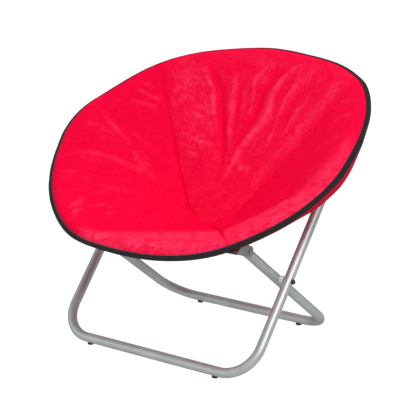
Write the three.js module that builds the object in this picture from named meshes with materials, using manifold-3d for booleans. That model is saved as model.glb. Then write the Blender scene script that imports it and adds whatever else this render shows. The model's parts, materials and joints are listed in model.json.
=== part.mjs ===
// Folding saucer chair: two crossed U-shaped leg frames of bent tube, a ring of two
// hinged half hoops, and a padded round seat that hangs in the ring.
// Millimetres, +X to the right seen from the front, +Y to the rear, +Z up.

import * as THREE from 'three';
import { mergeVertices } from 'three/addons/utils/BufferGeometryUtils.js';
import Module from 'manifold-3d';

const wasm = await Module();
wasm.setup();

const degree = Math.PI / 180;
const fullTurn = 2 * Math.PI;
const quarterTurn = Math.PI / 2;

// Driving dimensions of the legs
const legTubeDiameter = 22;
const legTubeWall = 1.6;
const legBendRadius = 75;
const frontLegHalfSpan = 262;
const gapBetweenLegs = 8;
const pivotHeight = 179;
const frontLegLean = 49.2 * degree;
const rearLegLean = 37 * degree;
const frontLegAbovePivot = 464;
const rearLegAbovePivot = 157;
const legTipBeyondPivot = 12;

// Driving dimensions of the ring
const hingeBehindPivot = 48.6;
const hingeAbovePivot = 280;
const frontHalfTilt = 36.7 * degree;
const rearHalfTilt = 27.1 * degree;
const rimMeanRadius = 376.8;
const rimWideShare = 0.037;
const rimSquareShare = 0.012;
const ringTubeDiameter = 19;
const ringTubeWall = 1.4;

// Driving dimensions of the seat
const bowlDepth = 191;
const bowlCentreForward = 116;
const seamSpread = 22;
const padThickness = 30;
const rimRollRadius = 17.5;
const panelCrowns = [9, 9, 18, 9];
const crownPower = 0.5;
const bowlCurve = 1.4;
const bowlPower = 1.3;
const spreadStartShare = 0.12;
const seamAngles = [40 * degree, 140 * degree, 230 * degree, 310 * degree];
const foldBlend = 38;
const bowlFoldBlend = 170;
const bindingThickness = 4;
const bindingWidth = 12;
const bindingLift = 8 * degree;

// Driving dimensions of the fittings
const clearance = 0.3;
const boltDiameter = 6;
const boltHeadDiameter = 11;
const boltHeadHeight = 3.5;
const capNutDiameter = 11;
const capNutHeight = 6.5;
const spacerDiameter = 19;
const rivetDiameter = 6;
const rivetHeadDiameter = 11;
const rivetHeadHeight = 1.5;
const plateThickness = 2;
const bracketLength = 32;
const bracketEarRadius = 12;
const earSideClearance = 0.6;
const hingeChannelRear = 28;
const hingeChannelFront = 16;
const hingeWebGap = 1.2;
const hingeSideGap = 1.2;
const hingeChannelThickness = 1.5;
const hingePocketRadius = 15.6;
const hingeChannelDrop = 7;
const hingeBendRadius = 3;
const rearTubeEndGap = 14;
const frontTubeEndPast = 4.6;
const hingeRivetSetback = 21;
const glideDiameter = 17;
const glideTaper = 1;
const glideBelowTube = 4;
const glideSaddle = 2.5;
const glideInboardOfBend = 11;
const plugThickness = 3;
const padCutClearance = 3;
const legCutLength = 145;
const sleeveClearance = 0.5;

// How finely the curves are cut
const legTubeSides = 14;
const ringTubeSides = 12;
const bendSteps = 5;
const ringSteps = 20;
const rimSteps = 36;
const topRings = 8;
const bottomRings = 5;
const rollSteps = 8;
const roundSides = 16;
const domeSteps = 4;
const smallBendSteps = 2;
const halvings = 40;
const mergeTolerance = 0.0003;

// Radii and clearances that follow
const legTubeRadius = legTubeDiameter / 2;
const ringTubeRadius = ringTubeDiameter / 2;
const sleeveBoreRadius = ringTubeRadius + sleeveClearance;
const boltHoleRadius = boltDiameter / 2 + clearance;
const rivetHoleRadius = rivetDiameter / 2 + clearance;
const tubeInset = rimRollRadius + clearance + bindingThickness;
const rearLegHalfSpan = frontLegHalfSpan - legTubeDiameter - gapBetweenLegs;
const cutOverrun = 2 * plateThickness;

// Places in the side view, where x is +Y and y is +Z, from the front floor bar's centre
const frontLegLine = new THREE.Vector2(Math.cos(frontLegLean), Math.sin(frontLegLean));
const rearLegLine = new THREE.Vector2(-Math.cos(rearLegLean), Math.sin(rearLegLean));
const frontLegToPivot = pivotHeight / Math.sin(frontLegLean);
const rearLegToPivot = pivotHeight / Math.sin(rearLegLean);
const frontBar = new THREE.Vector2(0, 0);
const scissorPivot = along(frontBar, frontLegLine, frontLegToPivot);
const rearBar = along(scissorPivot, rearLegLine, -rearLegToPivot);
const rearRingPivot = along(scissorPivot, frontLegLine, frontLegAbovePivot);
const frontRingPivot = along(scissorPivot, rearLegLine, rearLegAbovePivot);
const hingePoint = scissorPivot.clone().add(
  new THREE.Vector2(hingeBehindPivot, hingeAbovePivot));

// Each half of the ring lies in its own plane through the hinge line, and its tube ends
// a little past that line or short of it
const frontHalf = { tilt: frontHalfTilt, side: -1, tubePastHinge: frontTubeEndPast };
const rearHalf = { tilt: rearHalfTilt, side: 1, tubePastHinge: -rearTubeEndGap };
for (const half of [frontHalf, rearHalf]) {
  half.run = new THREE.Vector2(Math.cos(half.tilt), Math.sin(half.tilt));
  half.normal = new THREE.Vector2(-half.run.y, half.run.x);
}

// Materials
const paintedTube = new THREE.MeshStandardMaterial(
  { color: 0xa9abac, roughness: 0.45, metalness: 0.35 });
const platedSteel = new THREE.MeshStandardMaterial(
  { color: 0x8b8d8f, roughness: 0.4, metalness: 0.7 });
const blackPlastic = new THREE.MeshStandardMaterial(
  { color: 0x1b1b1d, roughness: 0.5, metalness: 0 });
const whitePlastic = new THREE.MeshStandardMaterial(
  { color: 0xf1f1ef, roughness: 0.5, metalness: 0 });
const redFabric = new THREE.MeshStandardMaterial(
  { color: 0xe8002d, roughness: 0.9, metalness: 0 });
const blackBinding = new THREE.MeshStandardMaterial(
  { color: 0x2b2a2d, roughness: 0.85, metalness: 0 });

// Side-view helpers
function along(point, direction, distance) {
  return point.clone().addScaledVector(direction, distance);
}

function onHalf(half, s, w) {
  return hingePoint.clone().addScaledVector(half.run, s).addScaledVector(half.normal, w);
}

function toSpace(x, sidePoint) {
  return new THREE.Vector3(x, sidePoint.x, sidePoint.y);
}

// Rim outline in the ring's plane: the outer edge of the binding
function rimRadius(angle) {
  return rimMeanRadius
    * (1 + rimWideShare * Math.cos(2 * angle) - rimSquareShare * Math.cos(4 * angle));
}

function ringPoint(angle, inset) {
  const radius = rimRadius(angle) - inset;
  return new THREE.Vector2(radius * Math.cos(angle), radius * Math.sin(angle));
}

// Where the ring tube's centre line stands over a given x, found by halving
function ringRunAt(x, half) {
  let low = 0;
  let high = quarterTurn;
  for (let round = 0; round < halvings; round += 1) {
    const middle = (low + high) / 2;
    if (ringPoint(middle, tubeInset).x > x) {
      low = middle;
    } else {
      high = middle;
    }
  }
  return half.side * ringPoint(low, tubeInset).y;
}

// The end angle of a half hoop whose tube stops at a distance from the hinge line
function endAngle(distance) {
  return Math.asin(distance / (rimRadius(0) - tubeInset));
}

// A path that keeps chosen stations and frames, so that straight runs stay one step
class StationPath extends THREE.Curve {
  constructor(stations) {
    super();
    this.stations = stations;
  }

  getPointAt(share) {
    const last = this.stations.length - 1;
    return this.stations[Math.round(share * last)].point.clone();
  }

  computeFrenetFrames() {
    const normals = this.stations.map((station) => station.outward);
    const binormals = this.stations.map((station) => station.upward);
    const tangents = normals.map(
      (normal, index) => new THREE.Vector3().crossVectors(normal, binormals[index]));
    return { tangents, normals, binormals };
  }
}

function sweep(shape, stations) {
  return new THREE.ExtrudeGeometry(shape, {
    steps: stations.length - 1,
    bevelEnabled: false,
    curveSegments: smallBendSteps,
    extrudePath: new StationPath(stations),
  });
}

function polygon(radius, sides, isHole) {
  const points = [];
  for (let corner = 0; corner < sides; corner += 1) {
    const turn = (isHole ? -1 : 1) * fullTurn * (corner + 0.5) / sides;
    points.push(new THREE.Vector2(radius * Math.cos(turn), radius * Math.sin(turn)));
  }
  return points;
}

function tubeShape(radius, wall, sides) {
  const shape = new THREE.Shape(polygon(radius, sides, false));
  shape.holes.push(new THREE.Path(polygon(radius - wall, sides, true)));
  return shape;
}

// Solids to cut and join
function toSolid(geometry) {
  const bare = geometry.index ? geometry.toNonIndexed() : geometry.clone();
  for (const name of Object.keys(bare.attributes)) {
    if (name !== 'position') {
      bare.deleteAttribute(name);
    }
  }
  const merged = mergeVertices(bare, mergeTolerance);
  const mesh = new wasm.Mesh({
    numProp: 3,
    vertProperties: Float32Array.from(merged.attributes.position.array),
    triVerts: Uint32Array.from(merged.index.array),
  });
  return new wasm.Manifold(mesh);
}

function toGeometry(solid) {
  const mesh = solid.getMesh();
  const geometry = new THREE.BufferGeometry();
  const places = Float32Array.from(mesh.vertProperties);
  geometry.setAttribute('position', new THREE.BufferAttribute(places, 3));
  geometry.setIndex(new THREE.BufferAttribute(Uint32Array.from(mesh.triVerts), 1));
  geometry.computeVertexNormals();
  return geometry;
}

function rodAcross(radius, fromX, toX, place, sides = roundSides) {
  const rod = new THREE.CylinderGeometry(radius, radius, toX - fromX, sides);
  rod.rotateZ(quarterTurn);
  rod.translate((fromX + toX) / 2, place.x, place.y);
  return rod;
}

// A flat shape drawn in the side view and given a width across the chair
function sidePlate(shape, fromX, toX) {
  const plate = new THREE.ExtrudeGeometry(shape, { depth: toX - fromX, bevelEnabled: false });
  plate.applyMatrix4(new THREE.Matrix4().makeBasis(
    new THREE.Vector3(0, 1, 0), new THREE.Vector3(0, 0, 1), new THREE.Vector3(1, 0, 0)));
  plate.translate(fromX, 0, 0);
  return plate;
}

function drilled(geometry, rods) {
  let solid = toSolid(geometry);
  for (const rod of rods) {
    solid = solid.subtract(toSolid(rod));
  }
  return toGeometry(solid);
}

const chair = new THREE.Group();

function addPiece(name, geometry, material) {
  const piece = new THREE.Mesh(geometry, material.clone());
  piece.name = name;
  chair.add(piece);
}

// Both sides of the chair, named as seen from the front
const chairSides = [
  { name: 'left', sign: -1 },
  { name: 'right', sign: 1 },
];

// Puts a span that is given outward from the middle plane on one side of the chair
function spanOn(chairSide, inner, outer) {
  return chairSide.sign > 0 ? [inner, outer] : [-outer, -inner];
}

// Leg frames: one tube each, bent twice into a U that stands on its floor bar
function legStations(bar, line, halfSpan, length) {
  const stations = [];
  const legAxis = toSpace(0, line);
  const across = new THREE.Vector3(1, 0, 0);
  const upward = new THREE.Vector3().crossVectors(across, legAxis).normalize();
  const addStation = (x, distance, turn) => {
    const outward = across.clone().multiplyScalar(Math.cos(turn))
      .addScaledVector(legAxis, -Math.sin(turn));
    stations.push({ point: toSpace(x, along(bar, line, distance)), outward, upward });
  };
  addStation(halfSpan, length, 0);
  for (let step = 0; step <= bendSteps; step += 1) {
    const turn = quarterTurn * step / bendSteps;
    addStation(
      halfSpan - legBendRadius + legBendRadius * Math.cos(turn),
      legBendRadius - legBendRadius * Math.sin(turn),
      turn,
    );
  }
  for (let step = 0; step <= bendSteps; step += 1) {
    const turn = quarterTurn * (1 + step / bendSteps);
    addStation(
      legBendRadius - halfSpan + legBendRadius * Math.cos(turn),
      legBendRadius - legBendRadius * Math.sin(turn),
      turn,
    );
  }
  addStation(-halfSpan, length, Math.PI);
  return stations;
}

function addLegFrame(prefix, bar, line, halfSpan, toPivot, abovePivot, ringPivot) {
  const length = toPivot + abovePivot + legTipBeyondPivot;
  const tube = sweep(
    tubeShape(legTubeRadius, legTubeWall, legTubeSides),
    legStations(bar, line, halfSpan, length),
  );
  const reach = halfSpan + legTubeDiameter;
  addPiece(`${prefix}_leg_frame`, drilled(tube, [
    rodAcross(boltHoleRadius, -reach, reach, scissorPivot),
    rodAcross(rivetHoleRadius, -reach, reach, ringPivot),
  ]), paintedTube);

  for (const chairSide of chairSides) {
    const plug = new THREE.CylinderGeometry(
      legTubeRadius, legTubeRadius, plugThickness, legTubeSides);
    const axis = toSpace(0, line);
    plug.applyQuaternion(
      new THREE.Quaternion().setFromUnitVectors(new THREE.Vector3(0, 1, 0), axis));
    const centre = along(bar, line, length + clearance + plugThickness / 2);
    plug.translate(chairSide.sign * halfSpan, centre.x, centre.y);
    addPiece(`${prefix}_leg_plug_${chairSide.name}`, plug, blackPlastic);

    addPiece(
      `${prefix}_glide_${chairSide.name}`,
      glideGeometry(bar, chairSide.sign * (halfSpan - legBendRadius - glideInboardOfBend)),
      blackPlastic,
    );
  }
}

// A glide is a round button under a floor bar, hollowed on top to the bar's curve
function glideGeometry(bar, x) {
  const height = glideBelowTube + glideSaddle;
  const button = new THREE.CylinderGeometry(
    glideDiameter / 2, glideDiameter / 2 - glideTaper, height, roundSides);
  button.rotateX(quarterTurn);
  button.translate(x, bar.x, bar.y - legTubeRadius - glideBelowTube + height / 2);
  return drilled(button, [
    rodAcross(legTubeRadius + clearance, x - glideDiameter, x + glideDiameter, bar, legTubeSides),
  ]);
}

// Scissor pivots: a bolt through both legs, a spacer between them and a cap nut outside
function addScissorPivot(chairSide) {
  const innerFace = rearLegHalfSpan - legTubeRadius;
  const outerFace = frontLegHalfSpan + legTubeRadius;
  const across = (radius, inner, outer) => {
    const [fromX, toX] = spanOn(chairSide, inner, outer);
    return rodAcross(radius, fromX, toX, scissorPivot);
  };
  const shank = toSolid(across(
    boltDiameter / 2, innerFace - clearance - plateThickness / 2, outerFace + capNutHeight / 2));
  const head = toSolid(across(
    boltHeadDiameter / 2, innerFace - clearance - boltHeadHeight, innerFace - clearance));
  addPiece(`pivot_bolt_${chairSide.name}`, toGeometry(shank.add(head)), platedSteel);

  const spacer = toSolid(across(
    spacerDiameter / 2,
    rearLegHalfSpan + legTubeRadius + clearance,
    frontLegHalfSpan - legTubeRadius - clearance,
  ));
  const bore = toSolid(across(boltHoleRadius, innerFace, outerFace));
  addPiece(
    `pivot_spacer_${chairSide.name}`, toGeometry(spacer.subtract(bore)), whitePlastic);

  addPiece(`pivot_cap_nut_${chairSide.name}`, capNutGeometry(chairSide, outerFace), blackPlastic);
}

// The cap nut is a dome turned about the bolt, with a blind bore for the bolt's end
function capNutGeometry(chairSide, outerFace) {
  const radius = capNutDiameter / 2;
  const skirt = capNutHeight / 3;
  const boreDepth = capNutHeight / 2 + clearance;
  const profile = [
    new THREE.Vector2(0, boreDepth),
    new THREE.Vector2(boltHoleRadius, boreDepth),
    new THREE.Vector2(boltHoleRadius, 0),
    new THREE.Vector2(radius, 0),
  ];
  for (let step = 0; step <= domeSteps; step += 1) {
    const turn = quarterTurn * step / domeSteps;
    profile.push(new THREE.Vector2(
      step === domeSteps ? 0 : radius * Math.cos(turn),
      skirt + (capNutHeight - skirt) * Math.sin(turn),
    ));
  }
  const nut = new THREE.LatheGeometry(profile, roundSides);
  nut.rotateZ(-chairSide.sign * quarterTurn);
  nut.translate(
    chairSide.sign * (outerFace + clearance), scissorPivot.x, scissorPivot.y);
  return nut;
}

// Ring tubes: two half hoops, each in its own tilted plane
function ringStations(half, radiusInset, pastHinge, steps = ringSteps) {
  const stations = [];
  const extra = endAngle(pastHinge);
  const upward = toSpace(0, half.normal);
  const run = toSpace(0, half.run);
  const across = new THREE.Vector3(1, 0, 0);
  for (let step = 0; step <= steps; step += 1) {
    const swept = -extra + (Math.PI + 2 * extra) * step / steps;
    const angle = half.side > 0 ? swept : swept - Math.PI;
    const flat = ringPoint(angle, radiusInset);
    const ahead = ringPoint(angle + degree, radiusInset);
    const behind = ringPoint(angle - degree, radiusInset);
    const tangent = ahead.sub(behind).normalize();
    const outward = across.clone().multiplyScalar(tangent.y).addScaledVector(run, -tangent.x);
    stations.push({ point: toSpace(flat.x, onHalf(half, flat.y, 0)), outward, upward });
  }
  return stations.reverse();
}

function addRingTube(name, half, rivetSetbacks) {
  const tube = sweep(
    tubeShape(ringTubeRadius, ringTubeWall, ringTubeSides),
    ringStations(half, tubeInset, half.tubePastHinge),
  );
  const reach = rimRadius(0);
  addPiece(name, drilled(tube, rivetSetbacks.map(
    (setback) => rodAcross(rivetHoleRadius, -reach, reach, onHalf(half, setback, 0)),
  )), paintedTube);
}

// Ring hinges: a bent channel riveted to the rear hoop, with the front hoop pinned in it
function channelShape() {
  const inner = ringTubeRadius + hingeSideGap;
  const outer = inner + hingeChannelThickness;
  const webInner = ringTubeRadius + hingeWebGap;
  const webOuter = webInner + hingeChannelThickness;
  const bend = hingeBendRadius;
  const outerBend = hingeBendRadius + hingeChannelThickness;
  const shape = new THREE.Shape();
  shape.moveTo(outer, -hingeChannelDrop);
  shape.lineTo(outer, webOuter - outerBend);
  shape.absarc(outer - outerBend, webOuter - outerBend, outerBend, 0, quarterTurn, false);
  shape.lineTo(outerBend - outer, webOuter);
  shape.absarc(
    outerBend - outer, webOuter - outerBend, outerBend, quarterTurn, Math.PI, false);
  shape.lineTo(-outer, -hingeChannelDrop);
  shape.lineTo(-inner, -hingeChannelDrop);
  shape.lineTo(-inner, webInner - bend);
  shape.absarc(bend - inner, webInner - bend, bend, Math.PI, quarterTurn, true);
  shape.lineTo(inner - bend, webInner);
  shape.absarc(inner - bend, webInner - bend, bend, quarterTurn, 0, true);
  shape.lineTo(inner, -hingeChannelDrop);
  shape.closePath();
  return shape;
}

function channelLeg(half, x, from, to) {
  const geometry = new THREE.ExtrudeGeometry(
    channelShape(), { depth: to - from, bevelEnabled: false, curveSegments: smallBendSteps });
  const run = toSpace(0, half.run);
  const upward = toSpace(0, half.normal);
  const across = new THREE.Vector3().crossVectors(upward, run);
  geometry.applyMatrix4(new THREE.Matrix4().makeBasis(across, upward, run));
  const start = onHalf(half, from, 0);
  geometry.translate(x, start.x, start.y);
  return geometry;
}

function rivetGeometry(x, place, halfGrip) {
  const shank = rodAcross(rivetDiameter / 2, x - halfGrip, x + halfGrip, place);
  let solid = toSolid(shank);
  for (const sign of [-1, 1]) {
    const face = x + sign * (halfGrip - rivetHeadHeight);
    const tip = x + sign * halfGrip;
    const head = rodAcross(
      rivetHeadDiameter / 2, Math.min(face, tip), Math.max(face, tip), place);
    solid = solid.add(toSolid(head));
  }
  return toGeometry(solid);
}

// The channel is straight and the tubes in it curve inward, so it sits inward of their ends
const hingeX = rimRadius(0) - tubeInset - (hingeSideGap - clearance);
const hingeHalfGrip = ringTubeRadius + hingeSideGap + clearance + hingeChannelThickness
  + rivetHeadHeight;

function addRingHinge(chairSide) {
  const x = chairSide.sign * hingeX;
  const rivetPlace = onHalf(rearHalf, hingeRivetSetback, 0);
  const channel = toSolid(channelLeg(rearHalf, x, -hingeChannelThickness, hingeChannelRear))
    .add(toSolid(channelLeg(frontHalf, x, -hingeChannelFront, hingeChannelThickness)));
  const reach = hingeHalfGrip + cutOverrun;
  addPiece(`ring_hinge_channel_${chairSide.name}`, drilled(toGeometry(channel), [
    rodAcross(rivetHoleRadius, x - reach, x + reach, hingePoint),
    rodAcross(rivetHoleRadius, x - reach, x + reach, rivetPlace),
  ]), platedSteel);
  addPiece(
    `ring_hinge_pin_${chairSide.name}`, rivetGeometry(x, hingePoint, hingeHalfGrip), platedSteel);
  addPiece(
    `ring_hinge_rivet_${chairSide.name}`, rivetGeometry(x, rivetPlace, hingeHalfGrip),
    platedSteel);
}

// Ring brackets: a plate under the hoop with two ears that straddle a leg's tip
const earInner = legTubeRadius + earSideClearance;
const earOuter = earInner + plateThickness;

function bracketOutline(half, runAt, pivot, growth) {
  const top = -ringTubeRadius - clearance + Math.max(0, growth - padCutClearance / 2);
  const halfLength = bracketLength / 2 + growth;
  const radius = bracketEarRadius + growth;
  const corners = [
    onHalf(half, runAt - halfLength, top),
    onHalf(half, runAt + halfLength, top),
  ];
  const reach = pivot.clone().sub(onHalf(half, runAt, top)).normalize();
  const start = Math.atan2(reach.y, reach.x) + quarterTurn;
  const shape = new THREE.Shape();
  shape.moveTo(corners[1].x, corners[1].y);
  shape.lineTo(corners[0].x, corners[0].y);
  shape.absarc(pivot.x, pivot.y, radius, start - Math.PI, start, false);
  shape.closePath();
  return shape;
}

function webOutline(half, runAt) {
  const top = -ringTubeRadius - clearance;
  const corners = [
    onHalf(half, runAt - bracketLength / 2, top - plateThickness),
    onHalf(half, runAt + bracketLength / 2, top - plateThickness),
    onHalf(half, runAt + bracketLength / 2, top),
    onHalf(half, runAt - bracketLength / 2, top),
  ];
  return new THREE.Shape(corners);
}

function bracketSolid(half, legX, runAt, pivot) {
  let solid = toSolid(sidePlate(webOutline(half, runAt), legX - earOuter, legX + earOuter));
  const outline = bracketOutline(half, runAt, pivot, 0);
  for (const [fromX, toX] of [[-earOuter, -earInner], [earInner, earOuter]]) {
    solid = solid.add(toSolid(sidePlate(outline, legX + fromX, legX + toX)));
  }
  return solid;
}

const bracketHalfGrip = earOuter + clearance + rivetHeadHeight;

function addFrontRingBracket(chairSide) {
  const legX = chairSide.sign * rearLegHalfSpan;
  const runAt = ringRunAt(rearLegHalfSpan, frontHalf);
  const bracket = bracketSolid(frontHalf, legX, runAt, frontRingPivot);
  const hole = rodAcross(
    rivetHoleRadius, legX - earOuter - cutOverrun, legX + earOuter + cutOverrun, frontRingPivot);
  addPiece(
    `front_ring_bracket_${chairSide.name}`, drilled(toGeometry(bracket), [hole]), platedSteel);
  addPiece(
    `front_bracket_rivet_${chairSide.name}`,
    rivetGeometry(legX, frontRingPivot, bracketHalfGrip),
    platedSteel,
  );
}

// The rear ring pivot's rivet ends inside the ears, whose outer faces carry its heads
function addRearRingBracket(chairSide) {
  const legX = chairSide.sign * frontLegHalfSpan;
  const runAt = ringRunAt(frontLegHalfSpan, rearHalf);
  let bracket = bracketSolid(rearHalf, legX, runAt, rearRingPivot);
  for (const [fromX, toX] of [
    [-earOuter - rivetHeadHeight, -earInner],
    [earInner, earOuter + rivetHeadHeight],
  ]) {
    bracket = bracket.add(toSolid(
      rodAcross(rivetHeadDiameter / 2, legX + fromX, legX + toX, rearRingPivot)));
  }
  addPiece(`rear_ring_bracket_${chairSide.name}`, toGeometry(bracket), platedSteel);
  const halfShank = earInner - clearance;
  addPiece(
    `rear_bracket_rivet_${chairSide.name}`,
    rodAcross(rivetDiameter / 2, legX - halfShank, legX + halfShank, rearRingPivot),
    platedSteel,
  );
}

// Seat pad. It is drawn over the flattened ring and then follows the ring's slight fold,
// rounded within a reach of the hinge line.
function onSeat(x, s, w, reach = foldBlend) {
  if (Math.abs(s) >= reach) {
    return toSpace(x, onHalf(s < 0 ? frontHalf : rearHalf, s, w));
  }
  const share = (s + reach) / (2 * reach);
  const start = onHalf(frontHalf, -reach, 0);
  const finish = onHalf(rearHalf, reach, 0);
  const first = start.lerp(hingePoint, share);
  const second = hingePoint.clone().lerp(finish, share);
  const run = second.clone().sub(first).normalize();
  const base = first.lerp(second, share);
  return toSpace(x, base.addScaledVector(new THREE.Vector2(-run.y, run.x), w));
}

// Four panels meet in seams that run to the corners, and each panel puffs up between them
const seamSteps = seamAngles.map((angle) => Math.round(rimSteps * angle / fullTurn));

function panelSwell(step, share) {
  for (let index = 0; index < seamSteps.length; index += 1) {
    const from = seamSteps[index];
    const to = index + 1 < seamSteps.length ? seamSteps[index + 1] : seamSteps[0] + rimSteps;
    const place = step < seamSteps[0] ? step + rimSteps : step;
    if (place >= from && place <= to) {
      const across = Math.abs(Math.sin(Math.PI * (place - from) / (to - from))) ** crownPower;
      return panelCrowns[index] * across * Math.sin(Math.PI * share);
    }
  }
  return 0;
}

function bowl(share) {
  return (1 - share ** bowlCurve) ** bowlPower;
}

// The seams don't quite meet: near the bowl's middle they keep apart sideways
function sidewaysSpread(angle, share) {
  const sideways = THREE.MathUtils.clamp(Math.cos(angle) / Math.cos(seamAngles[0]), -1, 1);
  return seamSpread * sideways * Math.min(1, share / spreadStartShare) * (1 - share);
}

const rollStart = 100 * degree;
const rollTop = rimRollRadius * Math.sin(rollStart);

function padPoint(step, row) {
  const angle = fullTurn * step / rimSteps;
  const rollSpan = topRings + rollSteps;
  if (row > topRings && row < rollSpan) {
    const turn = rollStart * (1 - 2 * (row - topRings) / rollSteps);
    const flat = ringPoint(angle, tubeInset - rimRollRadius * Math.cos(turn));
    return onSeat(flat.x, flat.y, rimRollRadius * Math.sin(turn));
  }
  const isTop = row <= topRings;
  const share = isTop ? row / topRings : 1 - (row - rollSpan) / bottomRings;
  const edge = ringPoint(angle, tubeInset - rimRollRadius * Math.cos(rollStart));
  const centre = new THREE.Vector2(0, -bowlCentreForward);
  const flat = centre.lerp(edge, share);
  flat.x += sidewaysSpread(angle, share);
  const height = isTop
    ? rollTop - (bowlDepth + rollTop) * bowl(share) + panelSwell(step, share)
    : -rollTop - (bowlDepth + padThickness - rollTop) * bowl(share);
  return onSeat(
    flat.x, flat.y, height, THREE.MathUtils.lerp(bowlFoldBlend, foldBlend, share ** 2));
}

function padGeometry() {
  const rows = topRings + rollSteps + bottomRings;
  const places = [padPoint(0, 0), padPoint(0, rows)];
  for (let row = 1; row < rows; row += 1) {
    for (let step = 0; step < rimSteps; step += 1) {
      places.push(padPoint(step, row));
    }
  }
  const at = (row, step) => 2 + (row - 1) * rimSteps + (step % rimSteps);
  const faces = [];
  for (let step = 0; step < rimSteps; step += 1) {
    faces.push(0, at(1, step), at(1, step + 1));
    faces.push(1, at(rows - 1, step + 1), at(rows - 1, step));
    for (let row = 1; row < rows - 1; row += 1) {
      faces.push(at(row, step), at(row + 1, step), at(row + 1, step + 1));
      faces.push(at(row, step), at(row + 1, step + 1), at(row, step + 1));
    }
  }
  const geometry = new THREE.BufferGeometry().setFromPoints(places);
  geometry.setIndex(faces);
  return geometry;
}

// A slab on one side of the plane that halves the ring's fold
const foldSplit = (frontHalfTilt + rearHalfTilt) / 2;

function halfSpace(half) {
  const reach = 4 * rimMeanRadius;
  const slab = new THREE.BoxGeometry(reach, reach, reach);
  slab.translate(0, half.side * (reach / 2 + clearance / 2), 0);
  slab.rotateX(foldSplit);
  slab.translate(0, hingePoint.x, hingePoint.y);
  return toSolid(slab);
}

function legTipCut(legX, pivot, line) {
  const radius = legTubeRadius + padCutClearance;
  const low = along(pivot, line, -legCutLength);
  const high = along(pivot, line, legTipBeyondPivot + plugThickness + padCutClearance);
  const side = new THREE.Vector2(-line.y, line.x).multiplyScalar(radius);
  const shape = new THREE.Shape([
    low.clone().add(side), low.clone().sub(side), high.clone().sub(side), high.clone().add(side),
  ].reverse());
  return toSolid(sidePlate(shape, legX - radius, legX + radius));
}

function hingePocket(half, x) {
  const length = hingeChannelRear + padCutClearance;
  const pocket = new THREE.CylinderGeometry(
    hingePocketRadius, hingePocketRadius, 2 * length, roundSides);
  pocket.applyQuaternion(new THREE.Quaternion().setFromUnitVectors(
    new THREE.Vector3(0, 1, 0), toSpace(0, half.run)));
  pocket.translate(x, hingePoint.x, hingePoint.y);
  return toSolid(pocket);
}

function addPadHalf(name, wholePad, half, legHalfSpan, pivot, line) {
  let solid = wholePad.intersect(halfSpace(half));
  const sleeve = new THREE.Shape(polygon(sleeveBoreRadius, ringTubeSides, false));
  solid = solid.subtract(toSolid(
    sweep(sleeve, ringStations(half, tubeInset, half.tubePastHinge))));
  const runAt = ringRunAt(legHalfSpan, half);
  const cutHalfWidth = bracketHalfGrip + padCutClearance;
  for (const { sign } of chairSides) {
    const legX = sign * legHalfSpan;
    const outline = bracketOutline(half, runAt, pivot, padCutClearance);
    solid = solid
      .subtract(toSolid(sidePlate(outline, legX - cutHalfWidth, legX + cutHalfWidth)))
      .subtract(legTipCut(legX, pivot, line))
      .subtract(hingePocket(half, sign * hingeX));
  }
  addPiece(name, toGeometry(solid), redFabric);
}

// Binding: a strip round the outside of the rim roll
function addBinding(name, half) {
  const strip = new THREE.Shape();
  const near = rimRollRadius + clearance;
  const far = near + bindingThickness;
  const halfTurn = bindingWidth / 2 / far;
  strip.absarc(0, 0, far, bindingLift - halfTurn, bindingLift + halfTurn, false);
  strip.absarc(0, 0, near, bindingLift + halfTurn, bindingLift - halfTurn, true);
  strip.closePath();
  const geometry = sweep(strip, ringStations(half, tubeInset, 0, rimSteps / 2));
  const solid = toSolid(geometry).intersect(halfSpace(half));
  addPiece(name, toGeometry(solid), blackBinding);
}

addLegFrame(
  'front', frontBar, frontLegLine, frontLegHalfSpan,
  frontLegToPivot, frontLegAbovePivot, rearRingPivot,
);
addLegFrame(
  'rear', rearBar, rearLegLine, rearLegHalfSpan,
  rearLegToPivot, rearLegAbovePivot, frontRingPivot,
);
addRingTube('ring_front_half', frontHalf, [0]);
addRingTube('ring_rear_half', rearHalf, [hingeRivetSetback]);
for (const chairSide of chairSides) {
  addScissorPivot(chairSide);
  addRingHinge(chairSide);
  addFrontRingBracket(chairSide);
  addRearRingBracket(chairSide);
}

const wholePad = toSolid(padGeometry());
addPadHalf(
  'seat_pad_front', wholePad, frontHalf, rearLegHalfSpan, frontRingPivot, rearLegLine);
addPadHalf(
  'seat_pad_rear', wholePad, rearHalf, frontLegHalfSpan, rearRingPivot, frontLegLine);
addBinding('binding_front', frontHalf);
addBinding('binding_rear', rearHalf);

// The origin is on the floor under the middle of the chair
const extent = new THREE.Box3().setFromObject(chair);
const middle = extent.getCenter(new THREE.Vector3());
chair.position.set(-middle.x, -middle.y, -extent.min.z);

export default chair;
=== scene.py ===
"""Folding saucer chair: bent tubes, fittings and a padded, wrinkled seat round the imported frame."""

import json
import math
import random

import bmesh
import bpy
import numpy as np
from bpy.props import FloatProperty, FloatVectorProperty, IntProperty, PointerProperty
from mathutils import Matrix, Vector, noise


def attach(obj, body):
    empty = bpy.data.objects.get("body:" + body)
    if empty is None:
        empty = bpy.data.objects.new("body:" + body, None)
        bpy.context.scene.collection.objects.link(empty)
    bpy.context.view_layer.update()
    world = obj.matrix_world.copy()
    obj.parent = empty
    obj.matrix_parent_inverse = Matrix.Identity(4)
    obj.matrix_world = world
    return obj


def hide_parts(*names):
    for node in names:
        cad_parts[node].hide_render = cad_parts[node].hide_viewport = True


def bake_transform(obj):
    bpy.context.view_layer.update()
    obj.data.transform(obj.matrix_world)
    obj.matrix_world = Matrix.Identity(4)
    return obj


bl_info = {
    "name": "Folding Saucer Chair",
    "version": (1, 0, 0),
    "blender": (4, 5, 0),
    "location": "View3D > Sidebar > Saucer Chair",
    "description": "Builds a folding saucer chair with bent tube legs and a padded round seat",
    "category": "Add Mesh",
}

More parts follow.
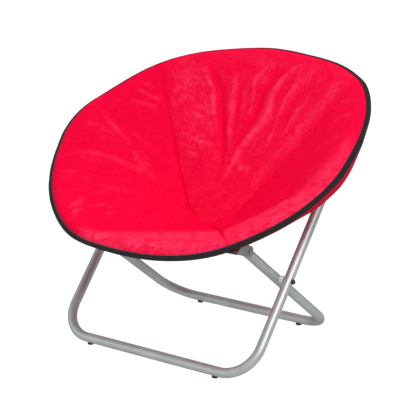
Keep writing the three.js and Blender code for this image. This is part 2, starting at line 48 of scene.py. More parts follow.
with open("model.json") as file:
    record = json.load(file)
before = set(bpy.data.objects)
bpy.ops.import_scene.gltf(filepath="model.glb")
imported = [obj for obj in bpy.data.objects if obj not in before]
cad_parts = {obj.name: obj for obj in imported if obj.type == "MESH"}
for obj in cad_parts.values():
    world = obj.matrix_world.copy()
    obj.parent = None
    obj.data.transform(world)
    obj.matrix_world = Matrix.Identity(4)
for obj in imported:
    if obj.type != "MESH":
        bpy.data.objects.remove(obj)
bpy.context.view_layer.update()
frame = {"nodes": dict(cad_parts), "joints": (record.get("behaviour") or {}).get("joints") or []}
JOINTS = {joint["name"]: joint for joint in frame["joints"]}
SIDES = (("left", -1), ("right", 1))


def towards(turn):
    """A unit vector in a section or the side view, turned from its first axis."""
    return Vector((math.cos(turn), math.sin(turn)))


# Places in the side view (Y, Z)
PIVOT = Vector(JOINTS["leg_fold"]["pos_m"][1:])
RING_HINGE = Vector(JOINTS["ring_hinge"]["pos_m"][1:])
BAR_HEIGHT = 0.015
FRONT_LEAN = math.radians(49.2)
REAR_LEAN = math.radians(37)
FRONT_LEG_LINE = towards(FRONT_LEAN)
REAR_LEG_LINE = towards(math.pi - REAR_LEAN)
FRONT_BELOW_PIVOT = (PIVOT.y - BAR_HEIGHT) / FRONT_LEG_LINE.y
REAR_BELOW_PIVOT = (PIVOT.y - BAR_HEIGHT) / REAR_LEG_LINE.y
FRONT_BAR = PIVOT - FRONT_LEG_LINE * FRONT_BELOW_PIVOT
REAR_BAR = PIVOT - REAR_LEG_LINE * REAR_BELOW_PIVOT
FRONT_ABOVE_PIVOT = 0.464
REAR_ABOVE_PIVOT = 0.157
LEG_TIP = 0.012
FRONT_HALF_SPAN = 0.262
REAR_HALF_SPAN = 0.232
BEND_RADIUS = 0.075
TUBE_CREASE = math.radians(40)
FITTING_CREASE = math.radians(38)

# Fittings of the legs: heights, radii, rounded edges, and how far they sink into a tube's wall
PLUG_HEIGHT, PLUG_EDGE, PLUG_GAP = 0.0032, 0.0018, 0.0001
GLIDE_HEIGHT, GLIDE_RADIUS, GLIDE_EDGE = 0.0065, 0.0072, 0.0014
GLIDE_INBOARD = 0.011
BOLT_HEAD_HEIGHT, BOLT_HEAD_RADIUS = 0.0038, 0.0055
SPACER_RADIUS = 0.0095
BOLT_EDGE = 0.0012
BOLT_SINK = 0.0003
CAP_FLANGE = ((0.0, 0.0), (0.0, 0.0057), (0.0006, 0.0060), (0.0016, 0.0059), (0.0020, 0.0054))
CAP_DOME_FOOT, CAP_DOME_HEIGHT, CAP_DOME_RADIUS = 0.0026, 0.0042, 0.0051
CAP_DOME_STEPS = 12
CAP_SINK = 0.0002

# The ring's outline, its two tilted halves and the padded roll round them
RIM_RADIUS = 0.3768
RIM_WIDE = 0.037
RIM_SQUARE = 0.012
FRONT_TILT = math.radians(36.7)
REAR_TILT = math.radians(27.1)
TUBE_INSET = 0.0218
ROLL_RADIUS = 0.0155
ROLL_START = math.radians(100)
HINGE_SWELL = 0.0024
HINGE_SWELL_REACH = 0.05
FRONT_TUBE_PAST_HINGE = 0.0046
REAR_TUBE_SHORT_OF_HINGE = 0.014
HINGE_GAP = 0.0009
HINGE_X = RIM_RADIUS * (1 + RIM_WIDE - RIM_SQUARE) - TUBE_INSET - HINGE_GAP
RING_STEPS = 96
RING_SIDES = 32

# The binding's section, and its upper edge, which reaches further over the roll at the rear:
# degrees round the rim, then degrees up the roll
BINDING_TIP = 0.0222
BINDING_TURN = math.radians(20)
BINDING_LOWER_EDGE = math.radians(-14)
BINDING_PLACES = (0, 30, 60, 100, 125, 155, 180, 205, 345, 360)
BINDING_UPPER_EDGES = (46, 52, 58, 62, 74, 80, 62, 42, 40, 46)
BINDING_THICKNESS = 0.0046
BINDING_LIFT = 0.0006
BINDING_DEPTH = 0.0012
BINDING_HOLLOW = 0.035
BINDING_STEPS = 6
BINDING_CREASE = math.radians(60)
BINDING_WAVE, BINDING_WAVE_LENGTH, BINDING_WAVE_SEED = 0.0005, 0.03, 5.0
TAPE_ROW_WIDTH = 0.0012
STITCH_HEIGHT = 0.0006
STITCH_INSET = 0.0010
STITCH_SPACING, STITCH_LENGTH, THREAD_RADIUS = 0.0046, 0.0036, 0.0005

# The underside hangs lower below the rim at both sides and is drawn up at the front:
# degrees round the rim, half width in degrees, share of the sag
SAG_PLACES = ((350, 15, 1.0), (190, 15, 1.0), (270, 58, -0.28))
SAG_START = math.radians(5)
SAG_FULL = math.radians(65)
SAG_BACK = math.radians(110)
SAG_END = math.radians(175)

# Where the cover bulges or is drawn in: degrees round the rim, half width in degrees, metres
COVER_PULLS = (
    (40, 7, 0.003),
    (74, 15, -0.009),
    (110, 17, -0.008),
    (158, 13, -0.008),
    (205, 15, -0.003),
    (244, 13, 0.008),
    (318, 12, -0.005),
    (352, 14, 0.007),
)
TUBE_GIVE, TUBE_GIVE_SPAN = 0.6, (0.15, 0.35)

# The bowl, whose middle lies forward of the hinge line, its four panels and their seams
BOWL_FORWARD = 0.116
BOWL_CURVE = 1.4
BOWL_POWER = 1.3
SEAM_ANGLES = (40, 140, 245, 308.5)
SEAM_SPREAD = 0.040
SPREAD_START = 0.12
PANEL_CROWN_SHARES = (1.0, 1.0, 3.0, 1.6)
PANEL_ROUNDNESS, PANEL_REACH = 0.5, 0.8
MIDDLE_REACH = 0.75
SEAM_SHARP, SEAM_SHARP_WIDTH = 0.7, 0.0035
SEAM_SOFT, SEAM_SOFT_WIDTH = 0.6, 0.016
SEAM_START, SEAM_FADE, SEAM_END = 0.12, 0.84, 0.97
ROLL_SEAM_DEPTH, UNDER_SEAM_DEPTH, OUTER_SEAM_WIDTH = 0.0024, 0.004, 0.006
RELIEF_FADE = 0.9

# Soft lumps in the padding: height and size in metres, place in the noise
LUMPS = ((0.0022, 0.085, 3.1), (0.0010, 0.034, 8.4))

# Painted light on the fabric: degrees round the rim and the share out at which the painted
# highlight along the front starts there, then how strong the painted highlight is at the front
# and at the rear, the painted highlights on folds, and the painted shade beneath the seat
PAINTED_LIGHT_DEGREES = (245, 254, 262, 272, 288, 306, 330, 340, 352, 364, 380)
PAINTED_LIGHT_SHARES = (1.00, 0.88, 0.76, 0.64, 0.46, 0.28, 0.34, 0.84, 0.92, 1.00, 1.20)
PAINTED_LIGHT_FROM = 100
PAINTED_LIGHT_EDGE = 0.12
PAINTED_LIGHT_SEAM_SPAN = (-3, 5)
PAINTED_LIGHT_SEAM_GAP, PAINTED_LIGHT_SEAM_LOSS = 0.004, 0.8
FRONT_PAINTED_LIGHT, REAR_PAINTED_LIGHT = 0.46, 0.06
REAR_PAINTED_LIGHT_PLACE, REAR_PAINTED_LIGHT_FADE = 90, (44, 50)
CREST_HEIGHT = 0.004
CREST_HIGHLIGHT, FOLD_LIGHT_AND_SHADE = 0.34, 0.12
UNDERSIDE_SHADE = -0.7
UNDERSIDE_SHADE_START, UNDERSIDE_SHADE_FULL = 0.45, 0.75

# Patches of painted light: degrees round, share out, half length, half width, strength
PAINTED_LIGHT_PATCHES = (
    (47, 0.86, 0.045, 0.020, 0.22),
    (47, 0.66, 0.050, 0.016, 0.20),
    (50, 0.42, 0.050, 0.014, 0.14),
    (64, 0.84, 0.050, 0.016, 0.16),
    (76, 0.66, 0.040, 0.012, 0.16),
    (128, 0.86, 0.035, 0.026, 0.20),
    (120, 0.68, 0.030, 0.024, 0.20),
    (124, 0.48, 0.030, 0.020, 0.14),
    (92, 0.90, 0.030, 0.020, 0.12),
    (100, 0.34, 0.040, 0.018, 0.12),
    (176, 0.80, 0.045, 0.024, 0.05),
)

# How softly the seat bends over the hinge line, at the rim and in the bowl
FOLD_SOFTNESS = 0.038
BOWL_FOLD_SOFTNESS = 0.170

# Camera, lamps and the light of the room
CAMERA_TARGET = Vector((0.0, 0.032348, 0.265))
CAMERA_RIGHT, CAMERA_UP = -0.01258, 0.02789
CAMERA_LENS, SENSOR_WIDTH = 111.294, 36.0
LAMP_TARGET = Vector((0.0, 0.0, 0.35))
FLOOR_SIZE = 30.0
FLOOR_GLOW, FLOOR_GLOW_REFLECTED, FLOOR_GLOW_SHARE = 1.36, 0.55, 0.7
AMBIENT_LIGHT = 0.50
REFLECTED_ROOM = 0.25

# Lamps: place, width, the setting with the power, whether reflections show it
LAMPS = {
    "key_light": ((2.1, -1.1, 2.3), 1.3, "key_power", True),
    "fill_light": ((-2.3, -1.9, 1.2), 1.4, "fill_power", True),
    "low_light": ((-0.9, -2.6, 0.35), 0.9, "low_power", True),
    "top_light": ((-1.1, 1.6, 2.6), 1.2, "top_power", False),
}

# How finely the seat is cut, and how near two points count as one
STEPS_ROUND = 560
TOP_ROWS = 130
ROLL_ROWS = 28
WALL_ROWS = 8
BOTTOM_ROWS = 24
ROUND = np.arange(STEPS_ROUND) * math.tau / STEPS_ROUND
MERGE_DISTANCE = 1e-6
SAME_POINT = 1e-7


# Settings

def length_setting(name, default, description):
    return FloatProperty(name=name, description=description, default=default, unit="LENGTH")


def power_setting(name, default, description):
    return FloatProperty(name=name, description=description, default=default, unit="POWER")


def angle_setting(name, degrees, description):
    return FloatProperty(
        name=name, description=description, default=math.radians(degrees), subtype="ANGLE")


def color_setting(name, default, description):
    return FloatVectorProperty(
        name=name, description=description, default=default, subtype="COLOR")


class TubeSettings(bpy.types.PropertyGroup):
    """Sizes and colours of the tubes and fittings."""

    leg_diameter: length_setting("Leg tube", 0.022, "Outside diameter of the leg tubes")
    ring_diameter: length_setting("Ring tube", 0.019, "Outside diameter of the ring tubes")
    tube_sides: IntProperty(
        name="Tube sides", description="Faces round each tube", default=40)
    bend_steps: IntProperty(
        name="Bend steps", description="Faces along each bend of a leg", default=20)
    paint: color_setting("Paint", (0.60, 0.635, 0.635), "Colour of the powder coat")
    zinc: color_setting("Zinc", (0.33, 0.335, 0.34), "Colour of the plated fittings")


class SeatSettings(bpy.types.PropertyGroup):
    """Sizes and colours of the padded seat."""

    bowl_depth: length_setting("Bowl depth", 0.191, "How far the bowl hangs below the ring")
    pad_thickness: length_setting("Pad thickness", 0.030, "Thickness of the padding")
    panel_crown: length_setting(
        "Panel crown", 0.009, "How far each panel puffs up between its seams")
    side_sag: length_setting(
        "Side sag", 0.0118, "How far the underside hangs below the rim at the sides")
    middle_padding: length_setting("Middle padding", 0.026, "Extra padding in the bowl's middle")
    seam_depth: length_setting("Seam depth", 0.005, "How deep the seams pull into the padding")
    fabric: color_setting("Fabric", (0.88, 0.0002, 0.041), "Colour of the seat's brushed fabric")
    # The colour of painted highlights: the fabric turns to it where light is painted on it
    rubbed: color_setting(
        "Painted highlight", (1.0, 0.042, 0.125), "Paler colour where the nap is brushed up")
    tape: color_setting("Tape", (0.013, 0.012, 0.014), "Colour of the binding tape")


class StageSettings(bpy.types.PropertyGroup):
    """Camera and lights."""

    azimuth: angle_setting("Azimuth", 35.47, "Camera's turn to the right of the chair's front")
    elevation: angle_setting("Elevation", 14.75, "Camera's angle above level")
    distance: length_setting("Distance", 3.03465, "Camera's distance from what it looks at")
    key_power: power_setting("Key light", 54.0, "Power of the main soft light")
    fill_power: power_setting("Fill light", 9.0, "Power of the weaker side light")
    low_power: power_setting("Low light", 5.0, "Power of the light on the legs' front")
    top_power: power_setting("Top light", 34.0, "Power of the light from above and behind")


# Nodes of materials, of the world and of node trees

def put(tree, socket, value):
    """Links what a node gives to a socket, or sets the socket's own value."""
    if isinstance(value, Value):
        value = value.socket
    if isinstance(value, bpy.types.NodeSocket):
        tree.links.new(value, socket)
    else:
        socket.default_value = value


def tree_node(tree, kind, inputs=None, **settings):
    made = tree.nodes.new(kind)
    for setting, value in settings.items():
        setattr(made, setting, value)
    for socket, value in (inputs or {}).items():
        put(tree, made.inputs[socket], value)
    return made


class Value:
    """A shader socket that Python's operators turn into Math nodes."""

    def __init__(self, finish, socket):
        self.finish = finish
        self.socket = socket

    def __add__(self, other):
        return self.finish.math("ADD", self, other)

    def __sub__(self, other):
        return self.finish.math("SUBTRACT", self, other)

    def __rsub__(self, other):
        return self.finish.math("SUBTRACT", other, self)

    def __mul__(self, other):
        return self.finish.math("MULTIPLY", self, other)

    __radd__ = __add__
    __rmul__ = __mul__


class Finish:
    """A material built from nodes, with fixed numbers set on the shader's own sockets."""

    def __init__(self, name, **fixed):
        self.material = bpy.data.materials.new(name)
        self.material.use_nodes = True
        self.tree = self.material.node_tree
        self.shader = self.tree.nodes["Principled BSDF"]
        for key, value in fixed.items():
            self.feed(key.replace("_", " ").title().replace("Ior", "IOR"), value)

    def node(self, kind, inputs=None, output=0, **settings):
        return Value(self, tree_node(self.tree, kind, inputs, **settings).outputs[output])

    def math(self, operation, first, second):
        return self.node("ShaderNodeMath", {0: first, 1: second}, operation=operation)

    def feed(self, socket, value):
        put(self.tree, self.shader.inputs[socket], value)

    def coordinates(self, source="Object"):
        return self.node("ShaderNodeTexCoord", output=source)

    def noise(self, where, scale, detail=3.0, roughness=0.5, distortion=0.0):
        return self.node("ShaderNodeTexNoise", {
            "Vector": where, "Scale": scale, "Detail": detail,
            "Roughness": roughness, "Distortion": distortion}, noise_dimensions="3D")

    def range(self, value, low, high, to_low=0.0, to_high=1.0):
        return self.node("ShaderNodeMapRange", {
            "Value": value, "From Min": low, "From Max": high,
            "To Min": to_low, "To Max": to_high}, interpolation_type="SMOOTHSTEP")

    def blend(self, factor, first, second):
        """Mixes two colours, which are the Mix node's sockets 6 and 7."""
        return self.node(
            "ShaderNodeMix", {0: factor, 6: first, 7: second}, output=2, data_type="RGBA")

    def mottle(self, tone, color, darkest, lightest):
        """The colour, varied by a tone between a darker and a lighter shade of it."""
        return self.blend(tone, shade(color, darkest), shade(color, lightest))

    def waves(self, where, direction, scale, distortion, detail=2.0):
        return self.node("ShaderNodeTexWave", {
            "Vector": where, "Scale": scale, "Distortion": distortion, "Detail": detail},
            wave_type="BANDS", bands_direction=direction)

    def bump(self, height, distance, strength=1.0, normal=None):
        inputs = {"Height": height, "Distance": distance, "Strength": strength}
        if normal:
            inputs["Normal"] = normal
        return self.node("ShaderNodeBump", inputs)


def shade(color, amount):
    """The colour made lighter or darker by a factor, as RGBA."""
    return (*(min(1.0, channel * amount) for channel in color), 1.0)


def powder_coat(paint):
    """Satin silver paint with fine flakes, soft clouds and a few darker scuffs."""
    finish = Finish(
        "silver_powder_coat", metallic=0.7, roughness=0.5, specular_ior_level=0.5,
        specular_tint=(0.35, 0.35, 0.35, 1.0))
    where = finish.coordinates()
    flake = finish.noise(where, scale=2600.0, detail=2.0)
    cloud = finish.noise(where, scale=14.0, detail=4.0, roughness=0.6)
    worn = finish.noise(where, scale=60.0, detail=6.0, roughness=0.75, distortion=1.2)
    peel = finish.noise(where, scale=900.0, detail=2.0)
    scuffs = finish.range(worn, low=0.62, high=0.74)
    tone = finish.range(cloud * 0.7 + flake * 0.3, low=0.3, high=0.7)
    base = finish.mottle(tone, paint, darkest=0.86, lightest=1.1)
    finish.feed("Base Color", finish.blend(scuffs * 0.35, base, shade(paint, 0.62)))
    finish.feed("Roughness", 0.46 + 0.08 * tone + 0.1 * scuffs)
    finish.feed("Normal", finish.bump(peel, distance=0.00004, strength=0.6))
    return finish.material


def zinc_plate(zinc):
    """Dull zinc with small spangles."""
    finish = Finish("zinc_plate", metallic=0.85, roughness=0.42)
    where = finish.coordinates()
    spangle = finish.node(
        "ShaderNodeTexVoronoi", {"Vector": where, "Scale": 420.0}, feature="F1")
    cloud = finish.noise(where, scale=90.0, detail=4.0, roughness=0.65)
    tone = finish.range(spangle * 0.5 + cloud, low=0.4, high=1.0)
    finish.feed("Base Color", finish.mottle(tone, zinc, darkest=0.7, lightest=1.2))
    finish.feed("Roughness", 0.34 + 0.2 * cloud)
    finish.feed("Normal", finish.bump(cloud, distance=0.0001, strength=0.5))
    return finish.material


def moulded_plastic(name, color, roughness):
    """Fine-grained plastic, paler and smoother where it is rubbed."""
    finish = Finish(name, roughness=roughness)
    where = finish.coordinates()
    grain = finish.noise(where, scale=1500.0)
    wear = finish.noise(where, scale=110.0, detail=5.0, roughness=0.7)
    worn = finish.range(wear, low=0.5, high=0.75)
    finish.feed("Base Color", finish.mottle(worn, color, darkest=0.9, lightest=1.25))
    finish.feed("Roughness", roughness - 0.12 * worn)
    finish.feed("Normal", finish.bump(grain, distance=0.00006, strength=0.5))
    return finish.material


def brushed_fabric(color, rubbed):
    """Suede-like fabric that a painted light attribute makes paler where a painted highlight lies,
    and darker beneath the seat, where shade is painted.
    """
    finish = Finish(
        "red_brushed_fabric", roughness=0.55, specular_ior_level=0.015, sheen_weight=0.01,
        sheen_roughness=0.4, sheen_tint=(1.0, 0.03, 0.15, 1.0))
    where = finish.coordinates()
    nap = finish.noise(where, scale=240.0, detail=4.0, roughness=0.7)
    pile = finish.noise(where, scale=2400.0, detail=2.0, roughness=0.6)
    crumple = finish.noise(where, scale=46.0, detail=4.0, roughness=0.62, distortion=1.1)
    creases = finish.noise(where, scale=170.0, roughness=0.6, distortion=0.6)
    fluff = finish.noise(where, scale=300.0, detail=2.0)
    # Painted light from the seat's attribute: above zero a painted highlight, below zero painted
    # shade
    painted_light_level = finish.node("ShaderNodeAttribute", output=2, attribute_name="rubbed")
    mixed = 0.35 * nap + 0.2 * pile + 0.45 * crumple
    grain = finish.range(mixed, low=0.41, high=0.59, to_low=0.2, to_high=1.8)
    tone = finish.range(0.55 * nap + 0.45 * pile, low=0.38, high=0.62)
    base = finish.mottle(tone, color, darkest=0.88, lightest=1.06)
    # Painted shade: the fabric beneath the seat is darkened to half its colour
    beneath = finish.range(painted_light_level, low=0.0, high=-1.0)
    base = finish.blend(beneath, base, shade(color, 0.5))
    # Painted highlight: the fabric turns paler and pinker where light is painted on it
    brushed = finish.blend(0.03 * grain + painted_light_level * grain, base, (*rubbed, 1.0))
    specks = finish.range(fluff, low=0.66, high=0.74)
    finish.feed("Base Color", finish.blend(specks * 0.3, brushed, shade(color, 0.6)))
    normal = finish.bump(crumple, distance=0.0010, strength=0.5)
    normal = finish.bump(creases, distance=0.0004, strength=0.5, normal=normal)
    normal = finish.bump(pile, distance=0.0002, strength=0.45, normal=normal)
    finish.feed("Normal", normal)
    return finish.material


def woven_tape(color):
    """Black tape whose crossing threads follow its own UV map."""
    finish = Finish(
        "black_woven_tape", roughness=0.8, specular_ior_level=0.2, sheen_weight=0.06,
        sheen_roughness=0.5)
    where = finish.coordinates("UV")
    warp, weft = (
        finish.waves(where, direction, scale=260.0, distortion=0.4, detail=1.0)
        for direction in "XY")
    thread = warp * weft
    dust = finish.noise(finish.coordinates(), scale=70.0, detail=4.0, roughness=0.65)
    tone = 0.6 * thread + 0.4 * dust
    finish.feed("Base Color", finish.mottle(tone, color, darkest=0.7, lightest=1.9))
    finish.feed("Normal", finish.bump(thread, distance=0.00035, strength=0.8))
    return finish.material


def sewing_thread(color):
    """Twisted thread."""
    finish = Finish("black_thread", roughness=0.7, sheen_weight=0.2)
    twist = finish.waves(finish.coordinates(), "DIAGONAL", scale=700.0, distortion=0.5)
    finish.feed("Base Color", finish.mottle(twist, color, darkest=0.7, lightest=1.15))
    finish.feed("Normal", finish.bump(twist, distance=0.00015, strength=0.6))
    return finish.material


def pale_floor():
    """A pale floor that the camera sees nearly white and that reflections see grey."""
    finish = Finish("pale_floor", roughness=0.95, base_color=(0.6, 0.6, 0.6, 1.0))
    to_camera = finish.node("ShaderNodeLightPath", output=0)
    in_reflection = finish.node("ShaderNodeLightPath", output=3)
    strength = FLOOR_GLOW - (FLOOR_GLOW - FLOOR_GLOW_REFLECTED) * in_reflection
    glow = finish.node("ShaderNodeEmission", {"Strength": strength})
    share = finish.math("MAXIMUM", to_camera * FLOOR_GLOW_SHARE, in_reflection)
    surface = finish.node("ShaderNodeMixShader", {
        0: share, 1: finish.shader.outputs[0], 2: glow})
    put(finish.tree, finish.tree.nodes["Material Output"].inputs[0], surface)
    return finish.material


BLACK_PLASTIC = (0.018, 0.018, 0.02)
WHITE_PLASTIC = (0.72, 0.72, 0.7)
BLACK_THREAD = (0.03, 0.03, 0.034)
MAKERS = {
    "powder_coat": lambda scene: powder_coat(scene.saucer_tubes.paint),
    "zinc_plate": lambda scene: zinc_plate(scene.saucer_tubes.zinc),
    "black_plastic": lambda scene: moulded_plastic(
        "black_moulded_plastic", BLACK_PLASTIC, roughness=0.5),
    "white_plastic": lambda scene: moulded_plastic(
        "white_moulded_plastic", WHITE_PLASTIC, roughness=0.45),
    "fabric": lambda scene: brushed_fabric(scene.saucer_seat.fabric, scene.saucer_seat.rubbed),
    "tape": lambda scene: woven_tape(scene.saucer_seat.tape),
    "black_thread": lambda scene: sewing_thread(BLACK_THREAD),
    "pale_floor": lambda scene: pale_floor(),
}
FITTING_FINISHES = {
    "black_plastic": "black_plastic", "white_plastic": "white_plastic",
    "plated_steel": "zinc_plate"}
MATERIALS = {}


def material(name):
    """Each material is made once, from the current settings."""
    if name not in MATERIALS:
        MATERIALS[name] = MAKERS[name](bpy.context.scene)
    return MATERIALS[name]


# Mesh helpers

def add_object(name, data):
    made = bpy.data.objects.new(name, data)
    bpy.context.scene.collection.objects.link(made)
    return made


def mesh_object(name, points, faces, finish):
    """A mesh with smooth faces and its finish."""
    mesh = bpy.data.meshes.new(name)
    mesh.from_pydata([tuple(point) for point in points], [], faces)
    mesh.materials.append(material(finish))
    mesh.polygons.foreach_set("use_smooth", [True] * len(mesh.polygons))
    mesh.validate()
    return add_object(name, mesh)


def point_outwards(piece):
    """Merges doubles and turns every face outwards."""
    work = bmesh.new()
    work.from_mesh(piece.data)
    bmesh.ops.remove_doubles(work, verts=work.verts, dist=MERGE_DISTANCE)
    bmesh.ops.recalc_face_normals(work, faces=work.faces)
    work.to_mesh(piece.data)
    work.free()


def turned(name, profile, base, axis, finish, sides=48):
    """Turns a profile of (along, radius) about an axis that starts at a point."""
    axis = Vector(axis).normalized()
    across = axis.orthogonal().normalized()
    third = axis.cross(across)
    points, rings = [], []
    for along, radius in profile:
        turns = [math.tau * side / sides for side in range(sides if radius else 1)]
        rings.append(range(len(points), len(points) + len(turns)))
        middle = Vector(base) + axis * along
        points.extend(
            middle + across * radius * math.cos(turn) + third * radius * math.sin(turn)
            for turn in turns)
    faces = []
    for first, second in zip(rings, rings[1:]):
        for side in range(sides):
            after = (side + 1) % sides
            corners = [first[side % len(first)], first[after % len(first)],
                       second[after % len(second)], second[side % len(second)]]
            face = list(dict.fromkeys(corners))
            if len(face) > 2:
                faces.append(face)
    piece = mesh_object(name, points, faces, finish)
    point_outwards(piece)
    piece.data.set_sharp_from_angle(angle=FITTING_CREASE)
    return piece


def rounded_profile(length, radius, edge, steps=5):
    """A closed cylinder's profile with both rims rounded."""
    turns = [math.pi / 2 * step / steps for step in range(steps + 1)]
    rim = radius - edge
    rise = [(edge - edge * math.cos(turn), rim + edge * math.sin(turn)) for turn in turns]
    fall = [(length - edge + edge * math.sin(turn), rim + edge * math.cos(turn))
            for turn in turns]
    return [(0.0, 0.0), *rise, *fall, (length, 0.0)]


def fitting(name, node, body, slot, profile, base, axis):
    """A turned fitting, in the finish of its slot, in place of its CAD node."""
    piece = turned(name, profile, base, axis, FITTING_FINISHES[slot])
    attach(piece, body)
    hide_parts(node)


def space(x, side_point):
    return Vector((x, side_point[0], side_point[1]))


# Node trees that grow meshes on paths

def new_tree(name, inputs):
    """A geometry node tree with named inputs and their kinds."""
    tree = bpy.data.node_groups.new(name, "GeometryNodeTree")
    for label, kind in {"Geometry": "Geometry", **inputs}.items():
        tree.interface.new_socket(label, in_out="INPUT", socket_type=f"NodeSocket{kind}")
    tree.interface.new_socket("Geometry", in_out="OUTPUT", socket_type="NodeSocketGeometry")
    return tree


def close_tree(tree, geometry, finish):
    """Ends a tree in real geometry with its material."""
    real = tree_node(tree, "GeometryNodeRealizeInstances", {"Geometry": geometry})
    painted = tree_node(tree, "GeometryNodeSetMaterial", {
        "Geometry": real.outputs["Geometry"], "Material": finish})
    tree_node(tree, "NodeGroupOutput", {"Geometry": painted.outputs["Geometry"]})
    return tree


def bent_tube_tree():
    """A round tube along a path whose corners are bent."""
    tree = new_tree("BentTube", {
        "Tube Radius": "Float", "Bend Radius": "Float", "Bend Steps": "Int", "Sides": "Int",
        "Material": "Material"})
    given = tree_node(tree, "NodeGroupInput")
    bent = tree_node(tree, "GeometryNodeFilletCurve", {
        "Curve": given.outputs["Geometry"],
        "Count": given.outputs["Bend Steps"],
        "Radius": given.outputs["Bend Radius"],
    }, mode="POLY")
    round_profile = tree_node(tree, "GeometryNodeCurvePrimitiveCircle", {
        "Resolution": given.outputs["Sides"], "Radius": given.outputs["Tube Radius"],
    }, mode="RADIUS")
    tube = tree_node(tree, "GeometryNodeCurveToMesh", {
        "Curve": bent.outputs["Curve"],
        "Profile Curve": round_profile.outputs["Curve"],
        "Fill Caps": True,
    })
    return close_tree(tree, tube.outputs["Mesh"], given.outputs["Material"])


def stitch_tree():
    """Short threads laid end to end along a path, each with a gap after it."""
    tree = new_tree("StitchRow", {
        "Spacing": "Float", "Stitch Length": "Float", "Thread Radius": "Float",
        "Material": "Material"})
    given = tree_node(tree, "NodeGroupInput")
    spaced = tree_node(tree, "GeometryNodeResampleCurve", {
        "Curve": given.outputs["Geometry"], "Length": given.outputs["Spacing"],
    }, mode="LENGTH")
    ball = tree_node(
        tree, "GeometryNodeMeshUVSphere", {"Segments": 6, "Rings": 4, "Radius": 1.0})
    half = tree_node(tree, "ShaderNodeMath", {
        0: given.outputs["Stitch Length"], 1: 0.5}, operation="MULTIPLY")
    size = tree_node(tree, "ShaderNodeCombineXYZ", {
        "X": given.outputs["Thread Radius"],
        "Y": given.outputs["Thread Radius"],
        "Z": half.outputs[0],
    })
    thread = tree_node(tree, "GeometryNodeTransform", {
        "Geometry": ball.outputs["Mesh"], "Scale": size.outputs["Vector"]})
    smooth = tree_node(
        tree, "GeometryNodeSetShadeSmooth", {"Geometry": thread.outputs["Geometry"]})
    tangent = tree_node(tree, "GeometryNodeInputTangent")
    along = tree_node(tree, "FunctionNodeAlignRotationToVector", {
        "Vector": tangent.outputs["Tangent"]}, axis="Z")
    stitches = tree_node(tree, "GeometryNodeInstanceOnPoints", {
        "Points": spaced.outputs["Curve"],
        "Instance": smooth.outputs["Geometry"],
        "Rotation": along.outputs["Rotation"],
    })
    return close_tree(tree, stitches.outputs["Instances"], given.outputs["Material"])


TREES = {"BentTube": bent_tube_tree, "StitchRow": stitch_tree}


def grown(name, source, tree_name, values):
    """Runs a node tree on a source object and keeps the result as a plain mesh."""
    tree = bpy.data.node_groups.get(tree_name) or TREES[tree_name]()
    modifier = source.modifiers.new("Grow", "NODES")
    modifier.node_group = tree
    for item in tree.interface.items_tree:
        if item.in_out == "INPUT" and item.name in values:
            modifier[item.identifier] = values[item.name]
    evaluated = source.evaluated_get(bpy.context.evaluated_depsgraph_get())
    mesh = bpy.data.meshes.new_from_object(evaluated)
    source.modifiers.remove(modifier)
    bpy.data.objects.remove(source)
    mesh.name = name
    return add_object(name, mesh)


def path_object(points, closed=False):
    curve = bpy.data.curves.new("path", "CURVE")
    curve.dimensions = "3D"
    spline = curve.splines.new("POLY")
    spline.points.add(len(points) - 1)
    for place, point in zip(spline.points, points):
        place.co = (*point, 1.0)
    spline.use_cyclic_u = closed
    return add_object("path", curve)


def bent_tube(name, points, diameter, sides, bend_radius=0.0, bend_steps=1):
    """A smooth round tube along a path, with its ends closed and their edges sharp."""
    tube = grown(name, path_object(points), "BentTube", {
        "Tube Radius": diameter / 2, "Bend Radius": bend_radius, "Bend Steps": bend_steps,
        "Sides": sides, "Material": material("powder_coat")})
    tube.data.polygons.foreach_set("use_smooth", [True] * len(tube.data.polygons))
    tube.data.set_sharp_from_angle(angle=TUBE_CREASE)
    return tube


# The ring and the seat's surface

def ring_radius(angle):
    return RIM_RADIUS * (1 + RIM_WIDE * np.cos(2 * angle) - RIM_SQUARE * np.cos(4 * angle))


def degrees_from(place, angle):
    """Degrees round the rim from a place to an angle, from -180 to 180."""
    return (np.degrees(angle) - place + 180) % 360 - 180


def swells(places, angle, power=2):
    """The sum of smooth swells, each given by its place, half width and height."""
    total = np.zeros(np.shape(angle))
    for place, width, height in places:
        total = total + height * np.exp(-((degrees_from(place, angle) / width) ** power))
    return total


def rim_radius(angle):
    return ring_radius(angle) + swells(COVER_PULLS, angle)


def tube_radius(angle):
    """Away from its hinges the tube follows the cover, so that it stays inside the padding."""
    give = TUBE_GIVE * smoothstep(np.abs(np.sin(angle)), *TUBE_GIVE_SPAN)
    return ring_radius(angle) - TUBE_INSET + give * swells(COVER_PULLS, angle)


def half_directions(tilt):
    run = np.array((math.cos(tilt), math.sin(tilt)))
    return run, np.array((-run[1], run[0]))


def on_seat(x, s, w, reach=FOLD_SOFTNESS):
    """Places flat coordinates on the folded ring, rounded within reach of its hinge line."""
    x, s, w, reach = (value[..., None] for value in np.broadcast_arrays(x, s, w, reach))
    near = np.clip(s, -reach, reach)
    share = (near + reach) / (2 * reach)
    first = -reach * (1 - share) * half_directions(FRONT_TILT)[0]
    second = reach * share * half_directions(REAR_TILT)[0]
    run = second - first
    run = run / np.linalg.norm(run, axis=-1, keepdims=True)
    up = np.stack((-run[..., 1], run[..., 0]), axis=-1)
    place = np.array(RING_HINGE) + first + (second - first) * share + run * (s - near) + up * w
    return np.concatenate((x, place), axis=-1)


def smooth_noise(x, s, scale, seed):
    """Noise from -1 to 1 over the flat seat, at a feature size in metres."""
    values = np.empty(x.size)
    for index, (one, other) in enumerate(zip((x / scale).ravel(), (s / scale).ravel())):
        values[index] = noise.noise(Vector((one, other, seed)))
    return values.reshape(x.shape)


def smoothstep(value, low, high):
    share = np.clip((value - low) / (high - low), 0.0, 1.0)
    return share * share * (3 - 2 * share)


